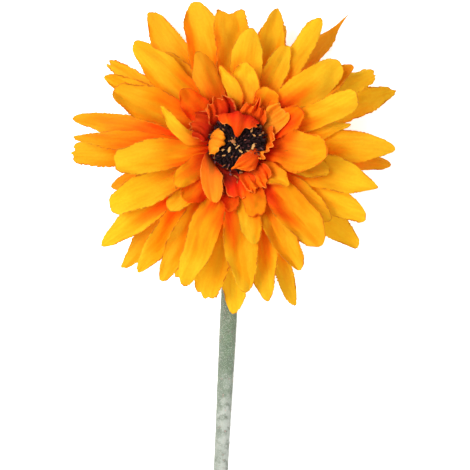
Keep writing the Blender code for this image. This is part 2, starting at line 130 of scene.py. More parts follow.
# Cloth
CLOTH = 0.3 * MM  # thickness
PETAL_GRID = (84, 17)  # rows and columns
FRILL_GRID = (56, 33)
CLAW = 0.34  # a petal's width at its root, as a share of its full width
VEINS = (-0.62, -0.3, 0.0, 0.3, 0.62)  # columns where veins are pressed into a petal
PLEAT = 0.4 * MM
FULL_FORM = 5 * MM  # half width of a petal whose pressed form has its full depth
BULGE = 0.38 * MM  # how far a border strays in slow bulges
JITTER = 0.13 * MM  # and in its fine, frayed waves
THREAD_RADIUS = 0.055 * MM
THREAD_POINTS = 5
THREADS = 7  # loose threads of a petal with a fray of 1
GRAIN_PITCH = 30 * MM  # keeps the grain of one petal away from that of the next

# Waves pressed into a petal: how many there are, their turns along it and across it, their
# depth in millimetres, and the shares of its length over which they grow.
Wave = namedtuple("Wave", "count along across depth grows")

WAVES = (
    Wave(4, (0.5, 2.2), (-0.5, 0.5), (0.15, 0.50), (0.1, 0.4)),
    Wave(3, (1.5, 4.5), (-1.3, 1.3), (0.06, 0.22), (0.15, 0.5)),
)

# A petal's bearing and reach, in degrees and millimetres, are those of its tip as seen
# from straight above. Lift is how far its tip is bent forward of its layer and curl how
# far its last fifth is bent further, in millimetres. Roll is how far it is turned about
# its own length, in degrees. Tip names its form in TIPS, tone runs from -1, dark, to 1,
# bright, and fray tells how ragged its border is. A petal's tone is partly its print and
# partly painted shade and painted light: dark where the petal lies in shade, bright where
# it faces the light. Bow is how far its middle bends sideways and skew how much further
# its end reaches on that side, in millimetres, both anticlockwise. Cup is how far its
# borders stand up, as a share of its half width.
Petal = namedtuple(
    "Petal", "bearing reach width lift roll tip curl tone fray bow skew cup",
    defaults=(0, 0, "round", 0, 0, 1, 0, 0, CUP),
)

# A layer's curve gives the height over its hub, in millimetres, as the factors of the
# first and second power of the reach past the hub in REACH_SCALE. Ripple is how much its
# borders wave, and 1 for the long petals.
Layer = namedtuple("Layer", "name slot curve first_root petals ripple", defaults=(1.0,))

LAYERS = (
    Layer("petals_1_back", "cloth_back", (0, -22), 18, (
        Petal(23.5, 60, 11.0, 0, 6, tone=0.3, fray=1.5),
        Petal(53.7, 63.5, 7.5, 1, 20, tip="spear", tone=-0.7),
        Petal(72, 47, 8.0, 0, 6),
        Petal(97, 46, 9.0, 0, 8),
        Petal(125.5, 58, 11.5, 1, 5, curl=2, tone=-0.3, bow=1),
        Petal(149, 56, 7.0, 0, 12, tip="notch", curl=1, tone=-0.2, fray=1.6),
        Petal(172, 59.3, 8.5, 0, 12, tone=-0.6),
        Petal(200, 46, 8.0, 2, 16, tip="blunt", tone=-0.9),
        Petal(229, 58.5, 9.0, 0, 8, curl=1, tone=-0.3),
        Petal(248, 50, 9.0, 0, 6),
        Petal(271.7, 58, 11.0, 2, 6, tone=0.6),
        Petal(293, 59, 7.5, 0, 16, tone=0.1, fray=1.6),
        Petal(324, 55.0, 10.5, 0, 6, tone=0.6),
        Petal(357, 54.5, 7.5, 1, 18, tip="blunt", curl=1, tone=-0.5),
    )),
    Layer("petals_2", "cloth_2", (4, -12), 4.5, (
        Petal(3, 55.3, 11.0, 1, 6, curl=-1, tone=0.2),
        Petal(32, 55, 8.5, 0, 10, tip="flat", tone=0.1, fray=1.6),
        Petal(60, 54.5, 8.0, 2, 8, tip="blunt", tone=0.5, fray=1.3),
        Petal(77, 51.5, 11.0, 1, 8, curl=-1, tone=-0.1, fray=1.4, bow=-1.8),
        Petal(109, 54.4, 14.0, 1, 6, curl=-1, tone=-0.2, bow=0.8),
        Petal(130, 42, 9.5, 0, 6, tone=-0.4),
        Petal(154.5, 52.5, 9.0, 1, 12, curl=2, tone=-0.1),
        Petal(185, 58, 11.5, 1, 5, tip="ragged", tone=-0.4, fray=1.8),
        Petal(218.6, 58, 10.5, 0, 8, tone=0.1, skew=0.4),
        Petal(234, 55, 10.0, 0, 8, curl=-1, tone=0.0, skew=1.0),
        Petal(261, 53.5, 12.0, 0, 8, tip="ragged", tone=0.4, fray=1.6, skew=0.8),
        Petal(284.5, 54, 12.0, 0, 8, curl=-1, tone=0.1),
        Petal(310, 42, 10.0, -1, 6),
        Petal(334.5, 51, 10.0, 1, 6, tip="blunt", tone=0.4, skew=-2.0),
    )),
    Layer("petals_3", "cloth_3", (9, -8), 15, (
        Petal(14.5, 40.5, 9.0, -1, 10, tip="spear"),
        Petal(38, 49.5, 9.0, 1, 14, curl=1, tone=-0.8),
        Petal(66, 40, 9.5, -1, 6, tone=0.4),
        Petal(95.5, 49, 12.0, 0, 6, tip="hollow", tone=-0.3, fray=1.5),
        Petal(137.5, 51, 11.5, 1, 4, tip="blunt", curl=1, tone=-0.1),
        Petal(157, 38, 8.0, -1, 6),
        Petal(179.5, 57, 8.0, 2, 18, tip="point", tone=-0.5, fray=1.4),
        Petal(208.5, 48.5, 11.5, 1, 6, tip="flat", curl=-1, tone=0.6),
        Petal(243.5, 53, 10.0, 1, 8, curl=-1, tone=-0.2),
        Petal(276, 50, 12.0, 0, 5, curl=-1, tone=0.1),
        Petal(300.5, 47.5, 10.5, 0, -16, tone=-0.2),
        Petal(325, 41, 10.0, -1, 6, tone=0.3),
        Petal(347.5, 50.5, 12.5, 1, 6, tip="point", curl=-1, tone=0.15, bow=-0.6),
    )),
    Layer("petals_4_front", "cloth_front", (15, -6), 20, (
        Petal(25.5, 45, 9.5, 2, 13, tip="flat", curl=1, tone=0.2),
        Petal(42, 46.5, 12.0, 0, 9, tip="blunt", curl=-1, tone=0.15, fray=1.4),
        Petal(86.5, 42, 11.5, 1, 4, curl=-1, tone=0.4),
        Petal(116, 36, 9.0, 1.5, 4, tone=-0.8),
        Petal(158.5, 47, 12.0, 1, 4, tip="blunt", curl=1, tone=-0.4),
        Petal(190.5, 42.5, 11.5, 2, 5, tip="flat", curl=-1, tone=0.3),
        Petal(226, 32, 9.0, 0, 8, tone=0.2),
        Petal(252, 51, 11.0, 1, 8, curl=-1, tone=0.1),
        Petal(283, 34, 8.0, 0, 8),
        Petal(314, 44.5, 13.0, 1.5, 4, curl=-1, tone=-0.3),
        Petal(348, 33, 8.5, -1.5, -12, tone=0.3),
    )),
    Layer("petals_5_inner", "cloth_inner", (30, -4), -8, (
        Petal(-2, 31, 14.5, -1.0, 0, curl=4, tone=0.5, cup=0.36),
        Petal(31.5, 26, 9.0, -1, -6, tip="blunt", curl=1, tone=-0.2),
        Petal(62, 23.5, 8.0, -1, 4, tip="flat", tone=0.2, cup=0.4),
        Petal(87, 29.3, 10.0, 1, 0, curl=1, tone=0.8, bow=-0.6, cup=0.3),
        Petal(105, 28.7, 7.5, 3, -48, tip="point", curl=1, tone=0.9, bow=-3.4),
        Petal(138, 27.5, 9.0, 0, -4, curl=1, tone=-0.5),
        Petal(155, 29.8, 6.6, 3, -44, tip="point", curl=1, tone=1.0, bow=3.6),
        Petal(216, 25, 8.0, 2, -6, tip="blunt", tone=0.2, bow=-1.0),
        Petal(229, 26, 9.0, -0.5, -12, tip="blunt", curl=1, tone=-0.4, cup=0.20),
        Petal(266, 22.5, 7.0, -3, 2, tone=-0.9, cup=0.3),
        Petal(290, 25.0, 8.5, -3.5, 10, tip="notch", tone=-0.3),
        Petal(326, 22.2, 7.0, 0, 5, tip="point", curl=1, tone=0.5, cup=0.4),
    ), 2.2),
)

# A frill petal stands up round the centre, and some of them fold in over it. Its tip is
# seen at this pixel of the photo and stands this many millimetres over the rearmost hub.
# Rise is how far it makes for straight up from its root, lean how far outwards, and
# crest how far above its tip it passes before it comes down to it, less than nothing
# where it still climbs there. Ripple is the depth of its waves in millimetres, and fray
# only tells how many loose threads it has.
# A frill's tone works as a petal's: partly print and partly painted shade, darkest for the hollows round
# the centre.
Frill = namedtuple(
    "Frill", "pixel height rise crest width ripple tone lean tip fray",
    defaults=(0.0, 1.0, "frill", 0.9),
)

FRILL_LAYER = Layer("petals_6_frill", "cloth_frill", (0, 0), 0, (
    Frill((269, 147), 12.5, 8.0, -3.0, 13.0, 1.3, 0.2, lean=0.5),
    Frill((284, 109), 11.0, 3.0, 0.5, 8.5, 0.8, 0.45, lean=3.0),
    Frill((256, 105), 12.5, 7.0, -2.0, 9.5, 1.4, 0.1),
    Frill((235.5, 131), 15.5, 12.0, 3.5, 14.5, 1.0, -0.1, lean=1.5, tip="lobed"),
    Frill((214, 101), 13.0, 7.0, -2.0, 10.5, 1.5, -0.4),
    Frill((192, 125), 11.5, 5.5, -1.0, 10.5, 1.4, -0.6, lean=1.5),
    Frill((222.5, 146), 14.0, 10.0, 3.0, 9.0, 0.4, 0.4, lean=0.0, tip="nipped"),
    Frill((216, 203), 11.0, 8.0, 0.0, 9.0, 0.1, 0.3, lean=2.5, tip="point"),
    Frill((231, 196), 8.0, 5.0, -1.0, 8.5, 0.9, -1.0),
    Frill((244, 196), 10.0, 6.0, -2.0, 11.0, 1.2, 0.0),
    Frill((263, 187), 11.0, 7.0, -2.0, 10.5, 1.2, 0.1),
    Frill((234, 169), 15.0, 10.0, 2.5, 7.2, 0.5, 0.1, lean=0.0, tip="point"),
))

# Pale flakes lie on the dark centre where the photo shows them: their middle's pixel,
# their length and width in millimetres, their heading in degrees from the picture's
# right, and their colour, from 0 for the dark ground through mauve and tan to 1, cream.
Flake = namedtuple("Flake", "pixel length width heading colour")

FLAKES = (
    Flake((233, 142.5), 2.2, 1.5, -15, 0.68),
    Flake((234.5, 145.5), 1.2, 0.5, -35, 0.95),
    Flake((223, 151), 1.1, 0.9, 20, 0.95),
    Flake((229.4, 150.8), 2.0, 1.2, 75, 1.0),
    Flake((224, 156.5), 1.2, 0.6, 10, 0.9),
    Flake((237.5, 148.0), 1.7, 0.6, 40, 0.95),
    Flake((240.6, 152.3), 1.7, 0.8, -40, 1.0),
    Flake((253, 147.5), 2.2, 1.3, 70, 1.0),
    Flake((252, 126), 1.2, 0.7, 30, 0.85),
    Flake((256, 124), 1.0, 0.6, 80, 0.8),
    Flake((260, 127), 1.0, 0.7, -20, 0.85),
    Flake((251.5, 132), 1.2, 0.7, 50, 0.8),
    Flake((254, 136.5), 1.3, 0.7, -30, 0.8),
    Flake((260, 136), 1.0, 0.6, 15, 0.75),
    Flake((241, 173), 1.1, 0.8, 0, 0.65),
    Flake((229, 166), 1.2, 0.7, 60, 0.4),
    Flake((230.6, 175), 1.2, 0.8, -50, 0.4),
    Flake((245, 141), 0.9, 0.5, 20, 0.5),
    Flake((217, 131), 1.1, 0.6, -60, 0.4),
    Flake((236, 158), 0.9, 0.5, 35, 0.45),
)

# The form of a petal's end: where along it the petal starts to narrow, the share of its
# width that is left at the end, how far the corners are cut back there, as a share of
# the length, the power of that curve, and the notches in it, each with its place across
# the petal, its depth and its width.
Tip = namedtuple("Tip", "start left corner power notches", defaults=((),))

TIPS = {
    "round": Tip(0.58, 0.54, 0.085, 2.0),
    "blunt": Tip(0.62, 0.64, 0.075, 2.2),
    "point": Tip(0.48, 0.42, 0.085, 1.8),
    "spear": Tip(0.38, 0.20, 0.080, 1.5),
    "flat": Tip(0.66, 0.76, 0.050, 2.8),
    "notch": Tip(0.60, 0.62, 0.055, 2.4, ((0.0, 0.045, 0.3),)),
    "hollow": Tip(0.70, 0.84, 0.025, 4.0, ((0.1, 0.050, 0.6),)),
    "ragged": Tip(0.62, 0.70, 0.045, 2.4, ((-0.4, 0.022, 0.15), (0.2, 0.022, 0.2))),
    "frill": Tip(0.55, 0.80, 0.100, 2.4, ((-0.35, 0.05, 0.12), (0.3, 0.06, 0.15))),
    "lobed": Tip(0.60, 0.95, 0.200, 1.6, ((-0.42, 0.09, 0.18), (0.40, 0.08, 0.18))),
    "nipped": Tip(0.60, 0.85, 0.120, 2.4, ((0.50, 0.08, 0.25),)),
}

# The bent neck carries the rearmost hub this high over the surface
HUB_FORWARD = (
    STEM_RADIUS_NECK
    + NECK_BEND_RADIUS * (1 - math.sin(HEAD_TILT))
    + NECK_STRAIGHT * math.cos(HEAD_TILT)
)
STEM_LOW, STEM_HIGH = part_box("stem_sleeve")
FLOWER_ORIGIN = np.array(((STEM_LOW.x + STEM_HIGH.x) / 2, STEM_LOW.y + STEM_REACH, 0.0))
HUB_CENTRE = FLOWER_ORIGIN + (0, 0, HUB_FORWARD)
HEAD_TURN = np.array(Matrix.Rotation(-HEAD_TILT, 3, "X"))
STRAIGHT_UP = HEAD_TURN.T @ np.array((0.0, 0.0, 1.0))  # in the head's frame

# Photo: the picture is 470 pixels square, and this pixel shows the middle of the centre
PHOTO_SIZE = 470
PHOTO_CENTRE = (237, 148)
PHOTO_PIXEL = 0.348 * MM
PHOTO_ROLL = math.radians(2.9)  # the stem leans this far to the picture's left, going down
CAMERA_DISTANCE = 1.2
PICTURE_RIGHT = Vector((math.cos(PHOTO_ROLL), math.sin(PHOTO_ROLL), 0))
PICTURE_UP = Vector((-math.sin(PHOTO_ROLL), math.cos(PHOTO_ROLL), 0))


def smooth(low, high, value):
    """0 below low, 1 above high, and an even curve between them."""
    share = np.clip((value - low) / (high - low), 0.0, 1.0)
    return share * share * (3 - 2 * share)


def plan(bearing, reach, height=0.0):
    """The points at a bearing in degrees, a reach and a height, in the head's frame."""
    turn = np.radians(bearing)
    return np.stack(
        np.broadcast_arrays(np.cos(turn) * reach, np.sin(turn) * reach, height), axis=-1
    )


def unit(vectors):
    return vectors / np.maximum(np.linalg.norm(vectors, axis=-1, keepdims=True), 1e-12)


def walk(path):
    """How far each point of a path lies from its first, along it."""
    return np.concatenate(([0.0], np.cumsum(np.linalg.norm(np.diff(path, axis=0), axis=1))))


def in_model(points):
    """Points of the head's frame, in the model's frame."""
    return points @ HEAD_TURN.T + HUB_CENTRE


def over_surface(points, spare_height):
    """Points of the head's frame, lifted smoothly where they would come nearer the surface."""
    spare = (in_model(points)[..., 2] - spare_height) / SURFACE_SOFTNESS
    return points + STRAIGHT_UP * (SURFACE_SOFTNESS * np.logaddexp(0.0, -spare))[..., None]


def layer_height(level, curve, reach):
    """The height of a spread layer at a reach."""
    outward = np.maximum(0.0, reach - HUB_RADIUS) / REACH_SCALE
    return level + MM * (curve[0] * outward + curve[1] * outward ** 2)


def seen_from_above(bearing, reach, height):
    """The point at this height which is seen from straight above at this bearing and reach."""
    point = plan(bearing, reach, height)
    point[1] = (point[1] - height * math.sin(HEAD_TILT)) / math.cos(HEAD_TILT)
    return point


def width_share(share, tip):
    """A petal's half width along its length, from a narrow claw to its tip's form."""
    body = CLAW + (1 - CLAW) * smooth(0.0, 0.6, share)
    past = np.clip((share - tip.start) / (1 - tip.start), 0.0, 1.0)
    return body * (1 - (1 - tip.left) * past ** 2)


def end_cut(draw, column, tip, fray):
    """How far the end of each column of a petal is cut back, as a share of its length: by
    the tip's form and notches, and by fine and slow waves of the cut."""
    cut = tip.corner * np.abs(column) ** tip.power
    for place, depth, breadth in tip.notches:
        cut += depth * bell(column - place + draw.uniform(-0.08, 0.08), breadth)
    cut += wobble(draw, column, 4, 0.0032 * fray, 1.5, 6.0)
    return cut + wobble(draw, column, 2, 0.004, 0.4, 1.1)


def bell(offset, breadth):
    """1 where the offset is 0, falling away evenly on both sides of it."""
    return np.exp(-(offset / breadth) ** 2)


def sine(turns):
    return np.sin(2 * math.pi * turns)


def wobble(draw, along, count, amplitude, slowest, fastest):
    """A sum of count sines along an array, with drawn lengths and phases."""
    total = np.zeros_like(along)
    for turns, phase in zip(draw.uniform(slowest, fastest, count), draw.uniform(0, 1, count)):
        total += sine(turns * along + phase)
    return total * amplitude / math.sqrt(count)


def unit_grid(rows, columns):
    """(share, column) of a grid, with its rows closer together towards the tip and its
    columns towards the borders."""
    step = np.linspace(0, 1, rows)
    share = 0.45 * step + 0.55 * (1 - (1 - step) ** 1.7)
    across = np.linspace(-1, 1, columns)
    column = np.sign(across) * (1 - (1 - np.abs(across)) ** 1.35)
    return np.meshgrid(share, column, indexing="ij")


def pressed_form(draw, share, column, half, ripple):
    """How far a petal stands over its plain sheet: a crease, pressed veins, pleats at the
    root, slow waves, wrinkles and a rippled border."""
    outer = smooth(0.15, 0.5, share)
    crease = draw.uniform(0.30, 0.70) * draw.choice((-1, 1))
    fold = np.abs(column - draw.uniform(-0.45, 0.45)) - 0.5
    form = -crease * np.minimum(half, FULL_FORM) * fold * outer
    for place in VEINS:
        depth = draw.uniform(0.08, 0.32) * MM
        vein = bell(column - place - draw.uniform(-0.07, 0.07), draw.uniform(0.06, 0.12))
        form -= depth * vein * smooth(0.05, 0.2, share) * (1 - smooth(0.72, 0.97, share))
    pleats = PLEAT * np.cos(3 * math.pi * column + draw.uniform(0, 1))
    form += pleats * (1 - smooth(0.1, 0.5, share))
    for wave in WAVES:
        for _ in range(wave.count):
            turns = draw.uniform(*wave.along) * share + draw.uniform(*wave.across) * column
            depth = draw.uniform(*wave.depth) * MM * smooth(*wave.grows, share)
            form += depth * sine(turns + draw.uniform(0, 1))
    for side in (-1, 1):
        edge = np.clip(column * side, 0, 1) ** 2.5 * outer
        form += edge * wobble(draw, share, 3, ripple * draw.uniform(0.3, 0.9) * MM, 1.0, 4.0)
    return form * np.clip(half.max() / FULL_FORM, 0.6, 1.2)


def border_shift(draw, share, column, half, fray):
    """How far a petal's borders stray sideways: slow bulges and a fine, frayed jitter."""
    shift = np.zeros_like(share)
    for border in (-1, 1):
        near_border = np.clip(column * border, 0, 1)
        bulge = wobble(draw, share, 3, BULGE, 0.6, 2.6) * smooth(0.1, 0.3, share)
        jitter = near_border ** 10 * wobble(draw, share, 6, JITTER * fray, 8, 38)
        shift += border * (near_border * bulge + jitter)
    return np.clip(shift, -half / 3, half / 3)


def petal_grid(draw, level, layer, root_bearing, petal):
    """(middle points, points of the flat cut cloth, shares, insets from the border)."""
    unit_share, column = unit_grid(*PETAL_GRID)
    tip_form = TIPS[petal.tip]
    reach = petal.reach * MM
    root = plan(root_bearing, HUB_RADIUS - ROOT_SUNK)
    tip = seen_from_above(
        petal.bearing, reach, layer_height(level, layer.curve, reach) + petal.lift * MM
    )
    tip[2] = 0.0
    length = np.linalg.norm(tip - root)
    forward = (tip - root) / length
    side = np.array((-forward[1], forward[0], 0.0))
    cut = end_cut(draw, column, tip_form, petal.fray) - petal.skew * MM / length * column
    share = unit_share - cut * smooth(0.7, 1.0, unit_share)
    half = petal.width * MM / 2 * width_share(unit_share, tip_form)
    offset = half * column + border_shift(draw, unit_share, column, half, petal.fray)
    bowed = petal.bow * MM * np.sin(math.pi * np.clip(share, 0, 1))
    centre = root + forward * (length * share)[..., None]
    flat = centre + side * offset[..., None]
    turned = math.radians(petal.roll) * smooth(0.1, 0.6, share)
    height = layer_height(level, layer.curve, np.linalg.norm(centre, axis=-1))
    height += MM * petal.lift * smooth(0.1, 1.0, share)
    height += half * column * np.sin(turned)
    height += half * petal.cup * (column ** 2 - 0.5) * smooth(0.1, 0.5, share)
    height += pressed_form(draw, share, column, half, layer.ripple)
    height += MM * petal.curl * np.clip((unit_share - 0.8) / 0.2, 0, 1) ** 2
    middle = centre + side * (offset * np.cos(turned) + bowed)[..., None]
    middle[..., 2] = height
    inset = np.minimum(half * (1 - np.abs(column)), length * (1 - unit_share))
    return over_surface(middle, CLOTH / 2), flat, share, inset


def under_pixel(pixel, height):
    """The point of the head's frame at this height that the photo shows at a pixel."""
    right = (pixel[0] - PHOTO_CENTRE[0]) * PHOTO_PIXEL
    up = (PHOTO_CENTRE[1] - pixel[1]) * PHOTO_PIXEL
    point = HEAD_TURN.T @ np.array(PICTURE_RIGHT * right + PICTURE_UP * up)
    return point + STRAIGHT_UP * (height - point[2]) / STRAIGHT_UP[2]


def bent_path(corners, steps):
    """Points of the curve that leaves the first corner for the second and comes to the
    last from the third."""
    share = np.linspace(0, 1, steps)[:, None]
    weights = ((1 - share) ** 3, 3 * share * (1 - share) ** 2, 3 * share ** 2 * (1 - share), share ** 3)
    return sum(weight * corner for weight, corner in zip(weights, corners))


def frill_path(level, root_bearing, frill):
    """(points from a frill petal's root up and over to its tip, bearing they lead in)."""
    up = np.array((0.0, 0.0, MM))
    root = plan(root_bearing, HUB_RADIUS, level)
    tip = under_pixel(frill.pixel, frill.height * MM)
    leave = root + up * frill.rise + plan(root_bearing, frill.lean * MM)
    over_hub = plan(root_bearing, np.linspace(HUB_RADIUS - ROOT_SUNK, HUB_RADIUS, 4), level)
    raised = bent_path((root, leave, tip + up * frill.crest, tip), 60)
    bearing = math.degrees(math.atan2(tip[1] - root[1], tip[0] - root[0]))
    return np.concatenate((over_hub[:-1], raised)), bearing


def frill_grid(draw, level, layer, root_bearing, frill):
    """As petal_grid, for a petal that stands up round the centre or folds over it."""
    unit_share, column = unit_grid(*FRILL_GRID)
    tip_form = TIPS[frill.tip]
    cut = end_cut(draw, column, tip_form, 1.0)
    cut += wobble(draw, column, 2, 0.05, 0.5, 0.9) * (frill.ripple / 1.5)
    share = unit_share - (cut - cut.min()) * smooth(0.5, 1.0, unit_share)
    path, bearing = frill_path(level, root_bearing, frill)
    walked = walk(path)
    length = walked[-1]
    slopes = np.gradient(path, walked, axis=0)
    centre, along = (
        np.stack([np.interp(share * length, walked, line) for line in lines.T], axis=-1)
        for lines in (path, slopes)
    )
    turn = (bearing - root_bearing + 90) % 180 - 90  # to the tip or away from it, if nearer
    side = plan(root_bearing + 90 + turn * smooth(0.1, 0.8, share), 1.0)
    normal = unit(np.cross(along, side))
    half = frill.width * MM / 2 * width_share(unit_share, tip_form)
    offset = half * column + border_shift(draw, unit_share, column, half, 1.0)
    lift = wobble(draw, column + 0.4 * share, 3, frill.ripple * MM, 0.7, 2.1) * smooth(0.25, 1.0, share)
    lift += wobble(draw, 1.5 * share + column, 3, 0.2 * MM, 0.8, 2.0) * smooth(0.2, 0.6, share)
    lift += half * 0.3 * (column ** 2 - 0.4) * smooth(0.15, 0.6, share)
    middle = centre + side * offset[..., None] + normal * lift[..., None]
    flat = plan(root_bearing, HUB_RADIUS - ROOT_SUNK + share * length)
    flat = flat + plan(root_bearing + 90, 1.0) * offset[..., None]
    inset = np.minimum(half * (1 - np.abs(column)), length * (1 - unit_share))
    return middle, flat, share, inset


# A shell holds points, faces and three vectors for each point, which its material reads:
# its place in the flat cloth, its place on its own petal, both in millimetres, and its
# dye, which is its share of the petal's length, its inset from the border in millimetres
# and the petal's tone, which is partly print and partly painted shade and painted light.
Shell = namedtuple("Shell", "points faces cut grain dye")


def solid_shell(points, faces, dye):
    """A shell that isn't cloth, whose cut and grain are its points' own places."""
    return Shell(points, faces, points / MM, points / MM, dye)


def head_shell(points, faces, dye):
    """The same for points of the head's frame, which then move to the model's."""
    return solid_shell(points, faces, dye)._replace(points=in_model(points))


def sheet_faces(rows, columns):
    """Faces of a closed sheet whose front grid of points is followed by its back grid."""
    back = rows * columns
    index = np.arange(back).reshape(rows, columns)
    a, b, c, d = index[:-1, :-1], index[:-1, 1:], index[1:, 1:], index[1:, :-1]
    front = np.stack((d, c, b, a), axis=-1).reshape(-1, 4)
    behind = front[:, ::-1] + back
    rim = np.concatenate((index[0], index[1:, -1], index[-1, -2::-1], index[-2:0:-1, 0]))
    ahead = np.roll(rim, -1)
    border = np.stack((ahead, ahead + back, rim + back, rim), axis=-1)
    return np.concatenate((front, behind, border)).tolist()


def grid_normals(middle):
    return unit(np.cross(np.gradient(middle, axis=0), np.gradient(middle, axis=1)))


def sheet_shell(grid, thickness, number, tone):
    """A closed sheet of cloth about the middle points of a grid."""
    middle, flat, share, inset = grid
    rows, columns = share.shape
    half = grid_normals(middle) * thickness / 2
    points = np.concatenate((middle + half, middle - half)).reshape(-1, 3)
    across = np.cumsum(np.linalg.norm(np.diff(flat, axis=1, prepend=flat[:, :1]), axis=-1), axis=1)
    along = np.cumsum(np.linalg.norm(np.diff(flat, axis=0, prepend=flat[:1]), axis=-1), axis=0)
    own_depth = np.full_like(share, number * GRAIN_PITCH)
    grain = np.stack((across - across[:, -1:] / 2, along, own_depth), axis=-1)
    dye = np.stack((share, inset / MM, np.full_like(share, tone)), axis=-1)
    vectors = (np.tile(vector.reshape(-1, 3), (2, 1)) for vector in (flat / MM, grain / MM, dye))
    return Shell(in_model(points), sheet_faces(rows, columns), *vectors)


def bar_faces(rings, sides, looped=False):
    """Faces of a closed bar of rings, each of them a loop of points, or of a closed loop
    of such rings."""
    faces = []
    for ring in range(rings if looped else rings - 1):
        for here in range(sides):
            there = (here + 1) % sides
            low, high = ring * sides, (ring + 1) % rings * sides
            faces.append((low + here, low + there, high + there, high + here))
    if not looped:
        faces.append(tuple(range(sides))[::-1])
        faces.append(tuple(range((rings - 1) * sides, rings * sides)))
    return faces


ANY_SIDE = (0.3, 0.5, 0.8)  # a line that no bar starts out along


def bar_points(path, radii, sides):
    """Rings of points about a path, as thick as the radii say."""
    along = unit(np.gradient(path, axis=0))
    start = np.cross(along[0], ANY_SIDE)
    across = unit(start - along * (along @ start)[:, None])[:, None]
    beside = np.cross(along[:, None], across)
    turn = np.linspace(0, 2 * math.pi, sides, endpoint=False)[:, None]
    spoke = across * np.cos(turn) + beside * np.sin(turn)
    return (path[:, None] + spoke * np.reshape(radii, (-1, 1, 1))).reshape(-1, 3)


def loose_threads(draw, grid, count, number, tone):
    """Short threads that have come out of a petal's cut border."""
    middle, flat, share, inset = grid
    rows, columns = share.shape
    normals = grid_normals(middle)
    shells = []
    for _ in range(count):
        row = draw.integers(rows // 3, rows - 2)
        column = draw.choice((0, columns - 1))
        foot = middle[row, column]
        out = unit(foot - middle[row, columns // 2])
        along = unit(middle[row + 1, column] - middle[row - 1, column])
        length = MM * 0.3 * math.exp(draw.normal(0.3, 0.6))
        heading = out * draw.uniform(0.4, 1.0) + along * draw.uniform(0.1, 1.1)
        heading += normals[row, column] * draw.uniform(-0.3, 0.5)
        bend = along * draw.uniform(-0.7, 0.9) + normals[row, column] * draw.uniform(-0.3, 0.6)
        step = np.linspace(-0.15, 1, THREAD_POINTS)[:, None]
        path = foot + length * (heading * step + 0.5 * bend * step ** 2)
        radii = THREAD_RADIUS * np.linspace(1.0, 0.55, THREAD_POINTS)
        points = over_surface(bar_points(path, radii, 3), THREAD_RADIUS)
        place = np.tile(flat[row, column] / MM, (len(points), 1))
        dye = np.tile((share[row, column], 0.0, tone), (len(points), 1))
        grain = np.tile((0.0, row, number * GRAIN_PITCH / MM), (len(points), 1))
        shells.append(Shell(in_model(points), bar_faces(THREAD_POINTS, 3), place, grain, dye))
    return shells


def turned_shell(profile, sides, dye, looped=True):
    """A profile of (reach, height) pairs turned about the head's axis, solid to its right
    when walked from first to last."""
    bearing = np.linspace(0, 360, sides, endpoint=False)
    points = np.concatenate([plan(bearing, reach, height) for reach, height in profile])
    dyes = np.tile(dye, (len(points), 1))
    return head_shell(points, bar_faces(len(profile), sides, looped), dyes)


def hub_shell(level):
    """The round middle of a cloth layer, with its hole for the stem's core."""
    low, high = level - HUB_THICKNESS / 2, level + HUB_THICKNESS / 2
    profile = ((BORE_RADIUS, low), (HUB_RADIUS, low), (HUB_RADIUS, high), (BORE_RADIUS, high))
    return turned_shell(profile, HUB_SIDES, (0.05, 1.0, 0.0))


def add_object(name, data):
    """A new object in the scene."""
    added = bpy.data.objects.new(name, data)
    bpy.context.scene.collection.objects.link(added)
    return added


def add_node(tree, kind, inputs=None, **settings):
    """A shader node with its settings made and its inputs linked or set."""
    made = tree.nodes.new("ShaderNode" + kind)
    for name, value in settings.items():
        setattr(made, name, value)
    for name, value in (inputs or {}).items():
        if isinstance(value, bpy.types.NodeSocket):
            tree.links.new(value, made.inputs[name])
        else:
            made.inputs[name].default_value = value
    return made


def new_material(name, shade, *settings):
    """A material whose surface is the shader that shade makes in its tree."""
    made = bpy.data.materials.new(name)
    made.use_nodes = True
    tree = made.node_tree
    tree.nodes.clear()
    add_node(tree, "OutputMaterial", {"Surface": shade(tree, *settings)})
    return made


def mesh_vector(tree, name):
    """One of the vectors that the mesh holds for its points: cut, grain or dye."""
    return add_node(tree, "Attribute", attribute_name=name).outputs["Vector"]


def axes(tree, vector):
    return add_node(tree, "SeparateXYZ", {"Vector": vector}).outputs


def stretched(tree, place, factors):
    return add_node(tree, "VectorMath", {0: place, 1: factors}, operation="MULTIPLY").outputs[0]


def maths(tree, operation, first, second=0.0):
    return add_node(tree, "Math", {0: first, 1: second}, operation=operation).outputs[0]


def scaled(tree, value, factor):
    return maths(tree, "MULTIPLY", value, factor)


def total(tree, first, *others):
    for other in others:
        first = maths(tree, "ADD", first, other)
    return first


def noise(tree, place, scale, detail=2.0, roughness=0.5):
    """A noise whose scale is how many of its spots fit in one unit of the place."""
    inputs = {"Vector": place, "Scale": scale, "Detail": detail, "Roughness": roughness}
    return add_node(tree, "TexNoise", inputs).outputs["Fac"]


def remap(tree, value, low, high, new_low=0.0, new_high=1.0):
    """The value, with the span from low to high stretched to a new one and held at its ends."""
    inputs = {"Value": value, "From Min": low, "From Max": high, "To Min": new_low, "To Max": new_high}
    return add_node(tree, "MapRange", inputs).outputs["Result"]


def spread(tree, value, low, high):
    """A noise, with the span that holds most of its values stretched from low to high."""
    return remap(tree, value, *NOISE_SPAN, low, high)


def blend(tree, share, first, second, mode="MIX"):
    """A colour between two, or one laid over the other."""
    node = add_node(tree, "Mix", {"Factor": share}, data_type="RGBA", blend_type=mode)
    for socket, value in ((node.inputs[6], first), (node.inputs[7], second)):
        if isinstance(value, bpy.types.NodeSocket):
            tree.links.new(value, socket)
        else:
            socket.default_value = (*value, 1.0)
    return node.outputs[2]


def coated(tree, colour, *coats):
    """A colour under coats, each of them (value, low, high, cover at low, cover at high,
    coat's colour and, if it isn't plainly mixed in, its mode)."""
    for value, low, high, cover_low, cover_high, *coat in coats:
        colour = blend(tree, remap(tree, value, low, high, cover_low, cover_high), colour, *coat)
    return colour


